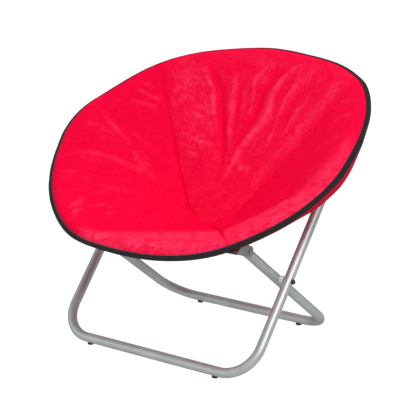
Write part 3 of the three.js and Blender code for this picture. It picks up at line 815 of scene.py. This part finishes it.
def flat_place(angle, share):
    """Flat seat coordinates at an angle round the rim and a share of the way out to it."""
    edge = rim_radius(angle) - TUBE_INSET + roll_radius(angle) * math.cos(ROLL_START)
    sideways = np.clip(np.cos(angle) / math.cos(math.radians(SEAM_ANGLES[0])), -1, 1)
    spread = SEAM_SPREAD * sideways * np.minimum(1, share / SPREAD_START) * (1 - share)
    x = edge * np.cos(angle) * share + spread
    s = -BOWL_FORWARD + (edge * np.sin(angle) + BOWL_FORWARD) * share
    return x, s


def distance_to_path(x, s, path):
    """Distance to a polyline over the flat seat, and how far along it the nearest point is."""
    best = np.full(x.shape, np.inf)
    along = np.zeros(x.shape)
    pieces = len(path) - 1
    for index, (start, end) in enumerate(zip(path, path[1:])):
        start, end = np.array(start), np.array(end)
        run = end - start
        share = np.clip(((x - start[0]) * run[0] + (s - start[1]) * run[1]) / (run @ run), 0, 1)
        gap = np.hypot(x - start[0] - share * run[0], s - start[1] - share * run[1])
        nearer = gap < best
        best = np.where(nearer, gap, best)
        along = np.where(nearer, (index + share) / pieces, along)
    return best, along


# Large folds: places as (degrees round, share out), then half width and height in metres
FOLDS = (
    (((122, 0.92), (115, 0.78), (112, 0.64), (104, 0.50)), 0.0060, 0.0045),
    (((118, 0.90), (110, 0.76), (107, 0.62), (99, 0.44), (95, 0.22)), 0.0085, -0.0080),
    (((104, 0.86), (101, 0.66), (94, 0.45)), 0.0080, 0.0040),
    (((99, 0.80), (96, 0.62), (92, 0.48)), 0.0050, -0.0030),
    (((72, 0.96), (77, 0.84), (78, 0.74), (74, 0.65), (82, 0.46), (86, 0.25)), 0.0065, 0.0080),
    (((79, 0.92), (85, 0.76), (84, 0.62), (90, 0.44)), 0.0085, -0.0070),
    (((61, 0.92), (64, 0.78), (62, 0.62)), 0.0100, -0.0035),
    (((66, 0.90), (69, 0.76), (66, 0.66)), 0.0050, 0.0030),
    (((56, 0.86), (58, 0.72), (56, 0.58)), 0.0050, 0.0025),
    (((88, 0.92), (92, 0.82), (90, 0.70)), 0.0045, 0.0026),
    (((84, 0.42), (74, 0.34), (60, 0.36)), 0.0055, 0.0030),
    (((152, 0.90), (147, 0.82), (142, 0.78)), 0.0045, 0.0030),
    (((157, 0.86), (150, 0.79), (145, 0.74)), 0.0045, 0.0026),
    (((150, 0.95), (145, 0.87)), 0.0040, 0.0022),
    (((172, 0.92), (171, 0.76), (169, 0.62)), 0.0055, 0.0018),
    (((170, 0.60), (173, 0.48), (171, 0.36)), 0.0065, 0.0024),
    (((196, 0.90), (189, 0.74), (183, 0.60), (172, 0.42)), 0.0065, 0.0019),
    (((205, 0.80), (192, 0.55)), 0.0060, -0.0026),
    (((231, 0.98), (228, 0.90), (221, 0.80)), 0.0045, 0.0030),
    (((238, 0.97), (233, 0.92), (229, 0.84)), 0.0045, 0.0028),
    (((136, 0.79), (132, 0.81), (126, 0.80)), 0.0042, 0.0030),
    (((134, 0.73), (128, 0.74), (124, 0.70)), 0.0040, 0.0026),
    (((127, 0.66), (121, 0.62), (115, 0.60)), 0.0045, 0.0030),
    (((129, 0.51), (116, 0.46), (104, 0.45)), 0.0050, 0.0032),
    (((37, 0.88), (34, 0.93), (32, 0.98)), 0.0040, 0.0020),
    (((29, 0.82), (26, 0.91), (23, 0.98)), 0.0040, 0.0020),
    (((15, 0.84), (13, 0.92), (10, 0.98)), 0.0040, 0.0018),
)

# Groups of small wrinkles: how many, degrees from and to, shares from and to,
# degrees and share that each one runs, half width and height in metres
WRINKLES = (
    (30, 108, 137, 0.38, 0.90, 9, 0.02, 0.0034, 0.0017),
    (10, 106, 137, 0.45, 0.90, 3, 0.10, 0.0036, 0.0016),
    (24, 60, 106, 0.42, 0.95, 3, 0.13, 0.0038, 0.0018),
    (10, 44, 62, 0.55, 0.92, -4, 0.08, 0.0036, 0.0014),
    (9, 142, 215, 0.45, 0.95, 6, 0.08, 0.0040, 0.0011),
    (14, 350, 398, 0.74, 0.96, -5, 0.12, 0.0036, 0.0011),
    (6, 250, 300, 0.50, 0.90, 8, 0.04, 0.0050, 0.0008),
    (20, 158, 232, 0.50, 0.94, 5, 0.13, 0.0034, 0.0013),
)
FOLD_TAPER = 0.6
WRINKLE_SEED = 7
WRINKLE_SIZES = (0.5, 1.3)
WRINKLE_BEND, WRINKLE_OFFSET = 0.3, 0.015


def wrinkle_paths():
    """The large folds, and small wrinkles scattered with a fixed seed."""
    paths = list(FOLDS)
    chance = random.Random(WRINKLE_SEED)
    for count, start, end, near, far, turn, run, width, height in WRINKLES:
        for _ in range(count):
            angle, share = chance.uniform(start, end), chance.uniform(near, far)
            bend = chance.uniform(-WRINKLE_BEND, WRINKLE_BEND) * run
            bend += chance.uniform(-WRINKLE_OFFSET, WRINKLE_OFFSET)
            size = chance.uniform(*WRINKLE_SIZES)
            places = (
                (angle - turn * size / 2, share - run * size / 2),
                (angle, share + bend),
                (angle + turn * size / 2, share + run * size / 2))
            paths.append((places, width, height * chance.uniform(*WRINKLE_SIZES)))
    return paths


def fold_heights(x, s):
    total = np.zeros(x.shape)
    for places, width, height in wrinkle_paths():
        path = [flat_place(math.radians(angle), share) for angle, share in places]
        gap, along = distance_to_path(x, s, path)
        ends = np.sin(np.pi * np.clip(along, 0.0, 1.0)) ** FOLD_TAPER
        total += height * np.exp(-((gap / width) ** 2)) * ends
    return total


def panel_crown(angle, share):
    """How far the panels puff up between their seams, as a share of the plain crown."""
    degrees = (np.degrees(angle) - SEAM_ANGLES[0]) % 360
    crown = np.zeros(np.broadcast(angle, share).shape)
    ends = (*SEAM_ANGLES[1:], SEAM_ANGLES[0] + 360)
    for start, end, amount in zip(SEAM_ANGLES, ends, PANEL_CROWN_SHARES):
        across = (degrees - start + SEAM_ANGLES[0]) / (end - start)
        inside = (across >= 0) & (across <= 1)
        puffed = amount * np.sin(np.pi * np.clip(across, 0, 1)) ** PANEL_ROUNDNESS
        crown = np.where(inside, puffed, crown)
    return crown * np.sin(np.pi * share) ** PANEL_REACH


def seam_gap(angle, share):
    """Distance along the rim's direction to the nearest seam."""
    gaps = [np.abs(degrees_from(seam, angle)) for seam in SEAM_ANGLES]
    return np.radians(np.minimum.reduce(gaps)) * RIM_RADIUS * share


def outer_groove(depth, angle, share):
    """How deep a seam pulls in the rim's roll or the underside."""
    return depth * np.exp(-((seam_gap(angle, share) / OUTER_SEAM_WIDTH) ** 2))


def relief(angle, share, x, s):
    """Height of the panels' crowns, seams, folds and wrinkles above the plain bowl."""
    seat = bpy.context.scene.saucer_seat
    gap = seam_gap(angle, share)
    sharp = SEAM_SHARP * np.exp(-((gap / SEAM_SHARP_WIDTH) ** 2))
    groove = seat.seam_depth * (sharp + SEAM_SOFT * np.exp(-gap / SEAM_SOFT_WIDTH))
    groove = groove * smoothstep(share, 0.0, SEAM_START)
    groove = groove * (1 - smoothstep(share, SEAM_FADE, SEAM_END))
    soft = sum(height * smooth_noise(x, s, size, seed) for height, size, seed in LUMPS)
    fade = 1 - smoothstep(share, RELIEF_FADE, 1.0)
    crown = seat.panel_crown * panel_crown(angle, share)
    middle = np.clip(1 - (share / MIDDLE_REACH) ** 2, 0, 1) ** 2
    crown = crown + seat.middle_padding * middle
    folds = fade * fold_heights(x, s)
    return crown + fade * (soft - groove) + folds, folds


def painted_light_share(angle, share, folds):
    """How much painted light the fabric gets: painted highlights along the front, at the rear, in
    patches and on the crests of folds, with less in their valleys.
    """
    degrees = np.degrees(angle) % 360
    degrees = np.where(degrees < PAINTED_LIGHT_FROM, degrees + 360, degrees)
    border = np.interp(degrees, PAINTED_LIGHT_DEGREES, PAINTED_LIGHT_SHARES)
    # Painted highlight along the front, weaker at the seams
    front = smoothstep(degrees - SEAM_ANGLES[2], *PAINTED_LIGHT_SEAM_SPAN)
    front = front * smoothstep(share, border - PAINTED_LIGHT_EDGE, border + PAINTED_LIGHT_EDGE)
    by_seam = np.exp(-((seam_gap(angle, share) / PAINTED_LIGHT_SEAM_GAP) ** 2))
    front = front * (1 - PAINTED_LIGHT_SEAM_LOSS * by_seam)
    rear = 1 - smoothstep(np.abs(degrees % 360 - REAR_PAINTED_LIGHT_PLACE), *REAR_PAINTED_LIGHT_FADE)
    # Painted highlights on the crests of folds, and less painted light in their valleys
    crest = np.clip(folds / CREST_HEIGHT, -1.0, 1.0)
    raised = CREST_HIGHLIGHT * np.maximum(crest, 0) + FOLD_LIGHT_AND_SHADE * crest
    patches = painted_light_patches(angle, share)
    return np.clip(FRONT_PAINTED_LIGHT * front + REAR_PAINTED_LIGHT * rear + patches + raised, 0.0, 1.0)


def painted_light_patches(angle, share):
    """Soft patches of painted light that run out from the bowl's middle."""
    total = np.zeros(np.shape(angle))
    for place, out, length, width, strength in PAINTED_LIGHT_PATCHES:
        across = np.radians(degrees_from(place, angle)) * RIM_RADIUS * share / width
        along = (share - out) * RIM_RADIUS / length
        total = total + strength * np.exp(-(across ** 2) - along ** 2)
    return total


def roll_radius(angle):
    """The padded roll is thicker over the ring's hinges."""
    from_hinge = np.abs(np.sin(angle)) * RIM_RADIUS
    swell = 1 - smoothstep(from_hinge, HINGE_SWELL_REACH, 2 * HINGE_SWELL_REACH)
    return ROLL_RADIUS + HINGE_SWELL * swell


def binding_edge(angle):
    """The turn round the roll at which the binding's upper edge lies."""
    return np.radians(np.interp(np.degrees(angle) % 360, BINDING_PLACES, BINDING_UPPER_EDGES))


def side_sag(angle):
    """How far the underside hangs below the rim, flat over the middle of each place."""
    return bpy.context.scene.saucer_seat.side_sag * swells(SAG_PLACES, angle, power=4)


def sag_share(turn):
    """The lower, outer part of the rim's roll sags, and its upper and inner parts stay."""
    below = -((turn + math.pi) % math.tau - math.pi)
    return smoothstep(below, SAG_START, SAG_FULL) * (1 - smoothstep(below, SAG_BACK, SAG_END))


def round_row(out, up):
    """A row round the rim, so far out and up from the middle of its roll."""
    reach = rim_radius(ROUND) - TUBE_INSET + out
    return on_seat(reach * np.cos(ROUND), reach * np.sin(ROUND), up)


def roll_rows(start, end, count, seamed=False):
    """Rows round the rim roll's section between two turns, without the first and last."""
    rows = []
    for row in range(1, count):
        turn = start + (end - start) * row / count
        roll = roll_radius(ROUND)
        if seamed:
            middle = math.sin(math.pi * row / count)
            roll -= outer_groove(ROLL_SEAM_DEPTH, ROUND, 1.0) * middle
        up = roll * math.sin(turn) - side_sag(ROUND) * sag_share(turn)
        rows.append(round_row(roll * math.cos(turn), up))
    return rows


def bowl_height(share, edge, depth):
    """Height of the plain bowl below the rim's plane, from its edge to its full depth."""
    return edge - depth * (1 - share ** BOWL_CURVE) ** BOWL_POWER


def seat_rows():
    """The seat's outer surface and the painted light and shade on it, from the bowl's middle, over
    the rim, to below.
    """
    seat = bpy.context.scene.saucer_seat
    edge = roll_radius(ROUND) * math.sin(ROLL_START)
    lower_edge = -edge - side_sag(ROUND) * sag_share(-ROLL_START)
    lower_depth = seat.bowl_depth + seat.pad_thickness + lower_edge
    top, bottom, rubbed = [], [], []
    for row in range(TOP_ROWS + 1):
        share = row / TOP_ROWS
        x, s = flat_place(ROUND, share)
        raised, folds = relief(ROUND, share, x, s)
        height = bowl_height(share, edge, seat.bowl_depth + edge) + raised
        top.append(on_seat(x, s, height, fold_reach(share)))
        # How much painted light each row gets
        rubbed.append(painted_light_share(ROUND, share, folds))
    for row in range(BOTTOM_ROWS + 1):
        share = 1 - row / BOTTOM_ROWS
        x, s = flat_place(ROUND, share)
        groove = outer_groove(UNDER_SEAM_DEPTH, ROUND, share) * math.sin(math.pi * share)
        height = bowl_height(share, lower_edge, lower_depth) + groove
        bottom.append(on_seat(x, s, height, fold_reach(share)))
    # Over the roll the painted highlight fades, and the rows turn into painted shade beneath the seat
    over = []
    for row in range(1, ROLL_ROWS):
        below = float(smoothstep(row / ROLL_ROWS, UNDERSIDE_SHADE_START, UNDERSIDE_SHADE_FULL))
        over.append(rubbed[-1] * (1 - row / ROLL_ROWS) + UNDERSIDE_SHADE * below)
    under = [np.full(STEPS_ROUND, UNDERSIDE_SHADE)] * len(bottom)
    rows = top + roll_rows(ROLL_START, -ROLL_START, ROLL_ROWS, seamed=True) + bottom
    return rows, rubbed + over + under


def fold_reach(share):
    """The seat bends over a longer way in the bowl than at the rim."""
    return BOWL_FOLD_SOFTNESS + (FOLD_SOFTNESS - BOWL_FOLD_SOFTNESS) * share ** 2


def rows_mesh(name, rows, finish, closed_rows=False):
    """A mesh from rings of points. A first or last ring that is one point closes in a fan."""
    points, starts = [], []
    for row in rows:
        single = np.allclose(row, row[0], atol=SAME_POINT)
        starts.append((len(points), single))
        points.extend(row[:1] if single else row)
    faces = []
    pairs = list(zip(starts, starts[1:]))
    if closed_rows:
        pairs.append((starts[-1], starts[0]))
    for (first, first_single), (second, second_single) in pairs:
        for step in range(STEPS_ROUND):
            after = (step + 1) % STEPS_ROUND
            if first_single:
                faces.append((first, second + step, second + after))
            elif second_single:
                faces.append((first + step, second, first + after))
            else:
                faces.append((first + step, second + step, second + after, first + after))
    return mesh_object(name, points, faces, finish), starts


def vertex_normals(piece):
    normals = np.empty(len(piece.data.vertices) * 3)
    piece.data.vertex_normals.foreach_get("vector", normals)
    return normals.reshape(-1, 3)


def row_span(start, single):
    """The vertices of a row that starts at a vertex."""
    return slice(start, start + (1 if single else STEPS_ROUND))


def row_normals(rows):
    """Unit normals of the whole outer surface, row by row."""
    outer, starts = rows_mesh("outer", rows, "fabric")
    normals = vertex_normals(outer)
    bpy.data.objects.remove(outer)
    return [normals[row_span(*start)] for start in starts]


def keep_normals(piece, starts, known):
    """Gives rows the normals that they have in the whole surface, so that no joint shows."""
    normals = vertex_normals(piece)
    for start, given in zip(starts, known):
        if given is not None:
            normals[row_span(*start)] = given
    piece.data.normals_split_custom_set_from_vertices([tuple(normal) for normal in normals])


def rub(piece, starts, rubbed):
    """Stores each row's painted light and shade as the attribute that the fabric reads."""
    values = np.zeros(len(piece.data.vertices))
    for start, row in zip(starts, rubbed):
        span = row_span(*start)
        values[span] = row[:span.stop - span.start]
    attribute = piece.data.attributes.new("rubbed", "FLOAT", "POINT")
    attribute.data.foreach_set("value", values)


def bend_at_hinge(piece):
    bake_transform(piece)


# Operators

class CHAIR_OT_stage(bpy.types.Operator):
    """Add the pale floor, the soft lights and the camera"""

    bl_idname = "saucer_chair.stage"
    bl_label = "Stage"

    def execute(self, context):
        context.scene.view_settings.view_transform = "Standard"
        self.add_floor()
        self.add_world(context.scene)
        self.add_camera(context.scene)
        for name, (place, size, power, reflected) in LAMPS.items():
            lamp = bpy.data.lights.new(name, "AREA")
            lamp.size = size
            lamp.energy = getattr(context.scene.saucer_stage, power)
            made = add_object(name, lamp)
            turn = (LAMP_TARGET - Vector(place)).to_track_quat("-Z", "Y")
            made.matrix_world = Matrix.Translation(place) @ turn.to_matrix().to_4x4()
            made.visible_glossy = reflected
        return {"FINISHED"}

    def add_floor(self):
        corners = [(x * FLOOR_SIZE, y * FLOOR_SIZE, 0)
                   for x, y in ((-1, -1), (1, -1), (1, 1), (-1, 1))]
        floor = mesh_object("floor", corners, [(0, 1, 2, 3)], "pale_floor")

    def add_world(self, scene):
        """White to the camera, light grey as ambient light and darker grey in reflections."""
        world = bpy.data.worlds.new("white_room")
        scene.world = world
        world.use_nodes = True
        tree = world.node_tree
        path = tree_node(tree, "ShaderNodeLightPath")
        level = AMBIENT_LIGHT
        for output, brightness in (("Is Glossy Ray", REFLECTED_ROOM), ("Is Camera Ray", 1.0)):
            choose = tree_node(tree, "ShaderNodeMix", {
                0: path.outputs[output], 2: level, 3: brightness})
            level = choose.outputs[0]
        background = tree.nodes["Background"]
        background.inputs["Color"].default_value = (1.0, 1.0, 1.0, 1.0)
        put(tree, background.inputs["Strength"], level)

    def add_camera(self, scene):
        stage = scene.saucer_stage
        azimuth, elevation = stage.azimuth, stage.elevation
        back = Vector((
            math.sin(azimuth) * math.cos(elevation),
            -math.cos(azimuth) * math.cos(elevation),
            math.sin(elevation)))
        right = Vector((math.cos(azimuth), math.sin(azimuth), 0.0))
        up = back.cross(right)
        place = CAMERA_TARGET + right * CAMERA_RIGHT + up * CAMERA_UP + back * stage.distance
        turn = Matrix((right, up, back)).transposed()
        camera = add_object("camera", bpy.data.cameras.new("camera"))
        camera.data.sensor_width = SENSOR_WIDTH
        camera.data.lens = CAMERA_LENS
        camera.matrix_world = Matrix.Translation(place) @ turn.to_4x4()
        scene.camera = camera


class CHAIR_OT_leg_frames(bpy.types.Operator):
    """Bend the two leg frames and add their tip plugs and glides"""

    bl_idname = "saucer_chair.leg_frames"
    bl_label = "Leg frames"

    def execute(self, context):
        tubes = context.scene.saucer_tubes
        radius = tubes.leg_diameter / 2
        for prefix, bar, line, span, length in (
            ("front", FRONT_BAR, FRONT_LEG_LINE, FRONT_HALF_SPAN,
             FRONT_BELOW_PIVOT + FRONT_ABOVE_PIVOT + LEG_TIP),
            ("rear", REAR_BAR, REAR_LEG_LINE, REAR_HALF_SPAN,
             REAR_BELOW_PIVOT + REAR_ABOVE_PIVOT + LEG_TIP),
        ):
            body = f"{prefix}_legs"
            top = bar + line * length
            path = [space(span, top), space(span, bar), space(-span, bar), space(-span, top)]
            tube = bent_tube(
                f"{prefix}_leg_tube", path, tubes.leg_diameter, tubes.tube_sides,
                BEND_RADIUS, tubes.bend_steps)
            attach(tube, body)
            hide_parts(f"{prefix}_leg_frame")
            for side, sign in SIDES:
                fitting(
                    f"{prefix}_tip_plug_{side}", f"{prefix}_leg_plug_{side}", body,
                    "black_plastic", rounded_profile(PLUG_HEIGHT, radius, PLUG_EDGE),
                    space(sign * span, top + line * PLUG_GAP), space(0.0, line))
                fitting(
                    f"{prefix}_glide_button_{side}", f"{prefix}_glide_{side}", body,
                    "black_plastic", rounded_profile(GLIDE_HEIGHT, GLIDE_RADIUS, GLIDE_EDGE),
                    (sign * (span - BEND_RADIUS - GLIDE_INBOARD), bar[0], 0.0), (0, 0, 1))
        return {"FINISHED"}


class CHAIR_OT_pivots(bpy.types.Operator):
    """Add the bolts, spacers and cap nuts of the scissor pivots"""

    bl_idname = "saucer_chair.pivots"
    bl_label = "Scissor pivots"

    def execute(self, context):
        radius = context.scene.saucer_tubes.leg_diameter / 2
        inner_face = REAR_HALF_SPAN - radius
        between_legs = REAR_HALF_SPAN + radius
        gap = FRONT_HALF_SPAN - radius - between_legs
        outer_face = FRONT_HALF_SPAN + radius
        head = rounded_profile(BOLT_HEAD_HEIGHT, BOLT_HEAD_RADIUS, BOLT_EDGE)
        spacer = rounded_profile(gap + 2 * BOLT_SINK, SPACER_RADIUS, BOLT_EDGE)
        for side, sign in SIDES:
            for name, node, slot, profile, x, way in (
                ("pivot_bolt_head", "pivot_bolt", "plated_steel", head,
                 inner_face + BOLT_SINK, -sign),
                ("pivot_washer", "pivot_spacer", "white_plastic", spacer,
                 between_legs - BOLT_SINK, sign),
                ("pivot_cap", "pivot_cap_nut", "black_plastic", self.cap_profile(),
                 outer_face - CAP_SINK, sign),
            ):
                fitting(
                    f"{name}_{side}", f"{node}_{side}", "rear_legs", slot, profile,
                    space(sign * x, PIVOT), (way, 0, 0))
        return {"FINISHED"}

    def cap_profile(self):
        """A low flange under a round dome."""
        profile = list(CAP_FLANGE)
        for step in range(CAP_DOME_STEPS):
            turn = math.pi / 2 * step / CAP_DOME_STEPS
            profile.append((
                CAP_DOME_FOOT + CAP_DOME_HEIGHT * math.sin(turn),
                CAP_DOME_RADIUS * math.cos(turn)))
        return profile + [(CAP_DOME_FOOT + CAP_DOME_HEIGHT, 0.0)]


class CHAIR_OT_ring(bpy.types.Operator):
    """Bend the two halves of the ring's tube"""

    bl_idname = "saucer_chair.ring"
    bl_label = "Ring halves"

    def execute(self, context):
        for prefix, tilt, start, past in (
            ("front", FRONT_TILT, -math.pi, FRONT_TUBE_PAST_HINGE),
            ("rear", REAR_TILT, 0.0, -REAR_TUBE_SHORT_OF_HINGE),
        ):
            extra = math.asin(past / HINGE_X)
            angles = start + np.linspace(-extra, math.pi + extra, RING_STEPS + 1)
            run, _ = half_directions(tilt)
            radius = tube_radius(angles)
            across, along = radius * np.cos(angles), radius * np.sin(angles)
            path = [space(x, np.array(RING_HINGE) + run * s) for x, s in zip(across, along)]
            diameter = context.scene.saucer_tubes.ring_diameter
            tube = bent_tube(f"{prefix}_ring_tube", path, diameter, RING_SIDES)
            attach(tube, f"ring_{prefix}")
            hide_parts(f"ring_{prefix}_half")
        return {"FINISHED"}


class CHAIR_OT_fittings(bpy.types.Operator):
    """Plate the ring's brackets, hinge channels, pins and rivets, which keep their CAD shapes"""

    bl_idname = "saucer_chair.fittings"
    bl_label = "Ring fittings"

    def execute(self, context):
        for name in ("ring_hinge_channel", "ring_hinge_pin", "ring_hinge_rivet",
                     "front_ring_bracket", "rear_ring_bracket",
                     "front_bracket_rivet", "rear_bracket_rivet"):
            for side, _ in SIDES:
                node = frame["nodes"][f"{name}_{side}"]
                node.data.materials.clear()
                node.data.materials.append(material("zinc_plate"))
        return {"FINISHED"}


class CHAIR_OT_seat(bpy.types.Operator):
    """Sew the padded bowl and the padded roll round the ring"""

    bl_idname = "saucer_chair.seat"
    bl_label = "Padded seat"

    def execute(self, context):
        rows, rubbed = seat_rows()
        known = row_normals(rows)
        start, end = TOP_ROWS, TOP_ROWS + ROLL_ROWS
        wall = roll_rows(ROLL_START, math.tau - ROLL_START, WALL_ROWS)
        cushion = self.cloth(
            "seat_cushion", [*rows[:start + 1], *wall, *rows[end:]],
            [*known[:start + 1], *[None] * len(wall), *known[end:]],
            [*rubbed[:start + 1], *self.plain(wall), *rubbed[end:]])
        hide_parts("seat_pad_front", "seat_pad_rear")
        bend_at_hinge(cushion)
        back = roll_rows(-ROLL_START, ROLL_START - math.tau, WALL_ROWS)
        sleeve = self.cloth(
            "rim_sleeve", [*rows[start:end + 1], *back],
            [*known[start:end + 1], *[None] * len(back)],
            [*rubbed[start:end + 1], *self.plain(back)], closed_rows=True)
        bend_at_hinge(sleeve)
        return {"FINISHED"}

    def plain(self, rows):
        """Hidden rows get no painted light or shade."""
        return [np.zeros(STEPS_ROUND)] * len(rows)

    def cloth(self, name, rows, known, rubbed, closed_rows=False):
        piece, starts = rows_mesh(name, rows, "fabric", closed_rows)
        keep_normals(piece, starts, known)
        rub(piece, starts, rubbed)
        return piece


class CHAIR_OT_binding(bpy.types.Operator):
    """Wrap the binding tape round the rim"""

    bl_idname = "saucer_chair.binding"
    bl_label = "Binding"

    def execute(self, context):
        wave = BINDING_WAVE * smooth_noise(
            RIM_RADIUS * np.cos(ROUND), RIM_RADIUS * np.sin(ROUND),
            BINDING_WAVE_LENGTH, BINDING_WAVE_SEED)
        edges = binding_edge(ROUND)
        swell = roll_radius(ROUND) - ROLL_RADIUS
        rows = []
        for out, up in np.array([self.section(edge) for edge in edges]).transpose(1, 2, 0):
            outward = 1 + swell / np.hypot(out, up)
            rows.append(round_row(out * outward + wave, up * outward))
        tape, _ = rows_mesh("binding_tape", rows, "tape", closed_rows=True)
        point_outwards(tape)
        tape.data.set_sharp_from_angle(angle=BINDING_CREASE)
        self.add_uv(tape, len(rows))
        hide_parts("binding_front", "binding_rear")
        bend_at_hinge(tape)
        reach = roll_radius(ROUND) + STITCH_HEIGHT
        path = round_row(
            reach * np.cos(edges) + STITCH_INSET + wave, reach * np.sin(edges) - STITCH_INSET)
        stitches = grown("binding_stitches", path_object(path, closed=True), "StitchRow", {
            "Spacing": STITCH_SPACING, "Stitch Length": STITCH_LENGTH,
            "Thread Radius": THREAD_RADIUS, "Material": material("black_thread")})
        bend_at_hinge(stitches)
        return {"FINISHED"}

    def section(self, upper_edge):
        """The tape's section: it hugs the roll at both edges and stands out to a folded lip."""
        half = BINDING_THICKNESS / 2
        lip = towards(BINDING_TURN) * (BINDING_TIP - half)
        faces = []
        for edge, quarter in ((BINDING_LOWER_EDGE, -math.pi / 2), (upper_edge, math.pi / 2)):
            base = towards(edge) * (ROLL_RADIUS + BINDING_LIFT)
            brim = lip + towards(BINDING_TURN + quarter) * half
            face = []
            for step in range(BINDING_STEPS + 1):
                share = step / BINDING_STEPS
                point = base.lerp(brim, share) * (1 - BINDING_HOLLOW * math.sin(math.pi * share))
                face.append(point * max(1.0, base.length / point.length))
            faces.append(face)
        turns = (BINDING_TURN - math.pi / 2 + math.pi * step / BINDING_STEPS
                 for step in range(1, BINDING_STEPS))
        cap = [lip + towards(turn) * half for turn in turns]
        inner = [towards(edge) * (ROLL_RADIUS - BINDING_DEPTH)
                 for edge in (upper_edge, BINDING_TURN, BINDING_LOWER_EDGE)]
        return faces[0] + cap + faces[1][::-1] + inner

    def add_uv(self, tape, row_count):
        """Lays the tape out flat, in metres, along and across."""
        layer = tape.data.uv_layers.new(name="tape")
        step_length = math.tau * RIM_RADIUS / STEPS_ROUND
        for polygon in tape.data.polygons:
            corners = [(vertex // STEPS_ROUND, vertex % STEPS_ROUND) for vertex in polygon.vertices]
            wraps = max(step for _, step in corners) - min(step for _, step in corners) > 1
            turns_over = max(row for row, _ in corners) - min(row for row, _ in corners) > 1
            for loop, (row, step) in zip(polygon.loop_indices, corners):
                along = (step + (STEPS_ROUND if wraps and step == 0 else 0)) * step_length
                across = (row + (row_count if turns_over and row == 0 else 0)) * TAPE_ROW_WIDTH
                layer.data[loop].uv = (along, across)


class CHAIR_PT_panel(bpy.types.Panel):
    """Lists the pieces of the chair"""

    bl_idname = "CHAIR_PT_panel"
    bl_label = "Saucer Chair"
    bl_space_type = "VIEW_3D"
    bl_region_type = "UI"
    bl_category = "Saucer Chair"

    def draw(self, context):
        for group in SETTINGS:
            settings = getattr(context.scene, group)
            box = self.layout.box()
            for name in settings.__annotations__:
                box.prop(settings, name)
        for operator in OPERATORS:
            self.layout.operator(operator.bl_idname)


SETTINGS = {
    "saucer_tubes": TubeSettings,
    "saucer_seat": SeatSettings,
    "saucer_stage": StageSettings,
}
OPERATORS = (
    CHAIR_OT_stage, CHAIR_OT_leg_frames, CHAIR_OT_pivots, CHAIR_OT_ring,
    CHAIR_OT_fittings, CHAIR_OT_seat, CHAIR_OT_binding,
)


def register():
    for kind in (*SETTINGS.values(), *OPERATORS, CHAIR_PT_panel):
        bpy.utils.register_class(kind)
    for name, kind in SETTINGS.items():
        setattr(bpy.types.Scene, name, PointerProperty(type=kind))


def unregister():
    for name in SETTINGS:
        delattr(bpy.types.Scene, name)
    for kind in reversed((*SETTINGS.values(), *OPERATORS, CHAIR_PT_panel)):
        bpy.utils.unregister_class(kind)


def main():
    register()
    for operator in OPERATORS:
        group, name = operator.bl_idname.split(".")
        getattr(getattr(bpy.ops, group), name)()


if __name__ == "__main__":
    main()
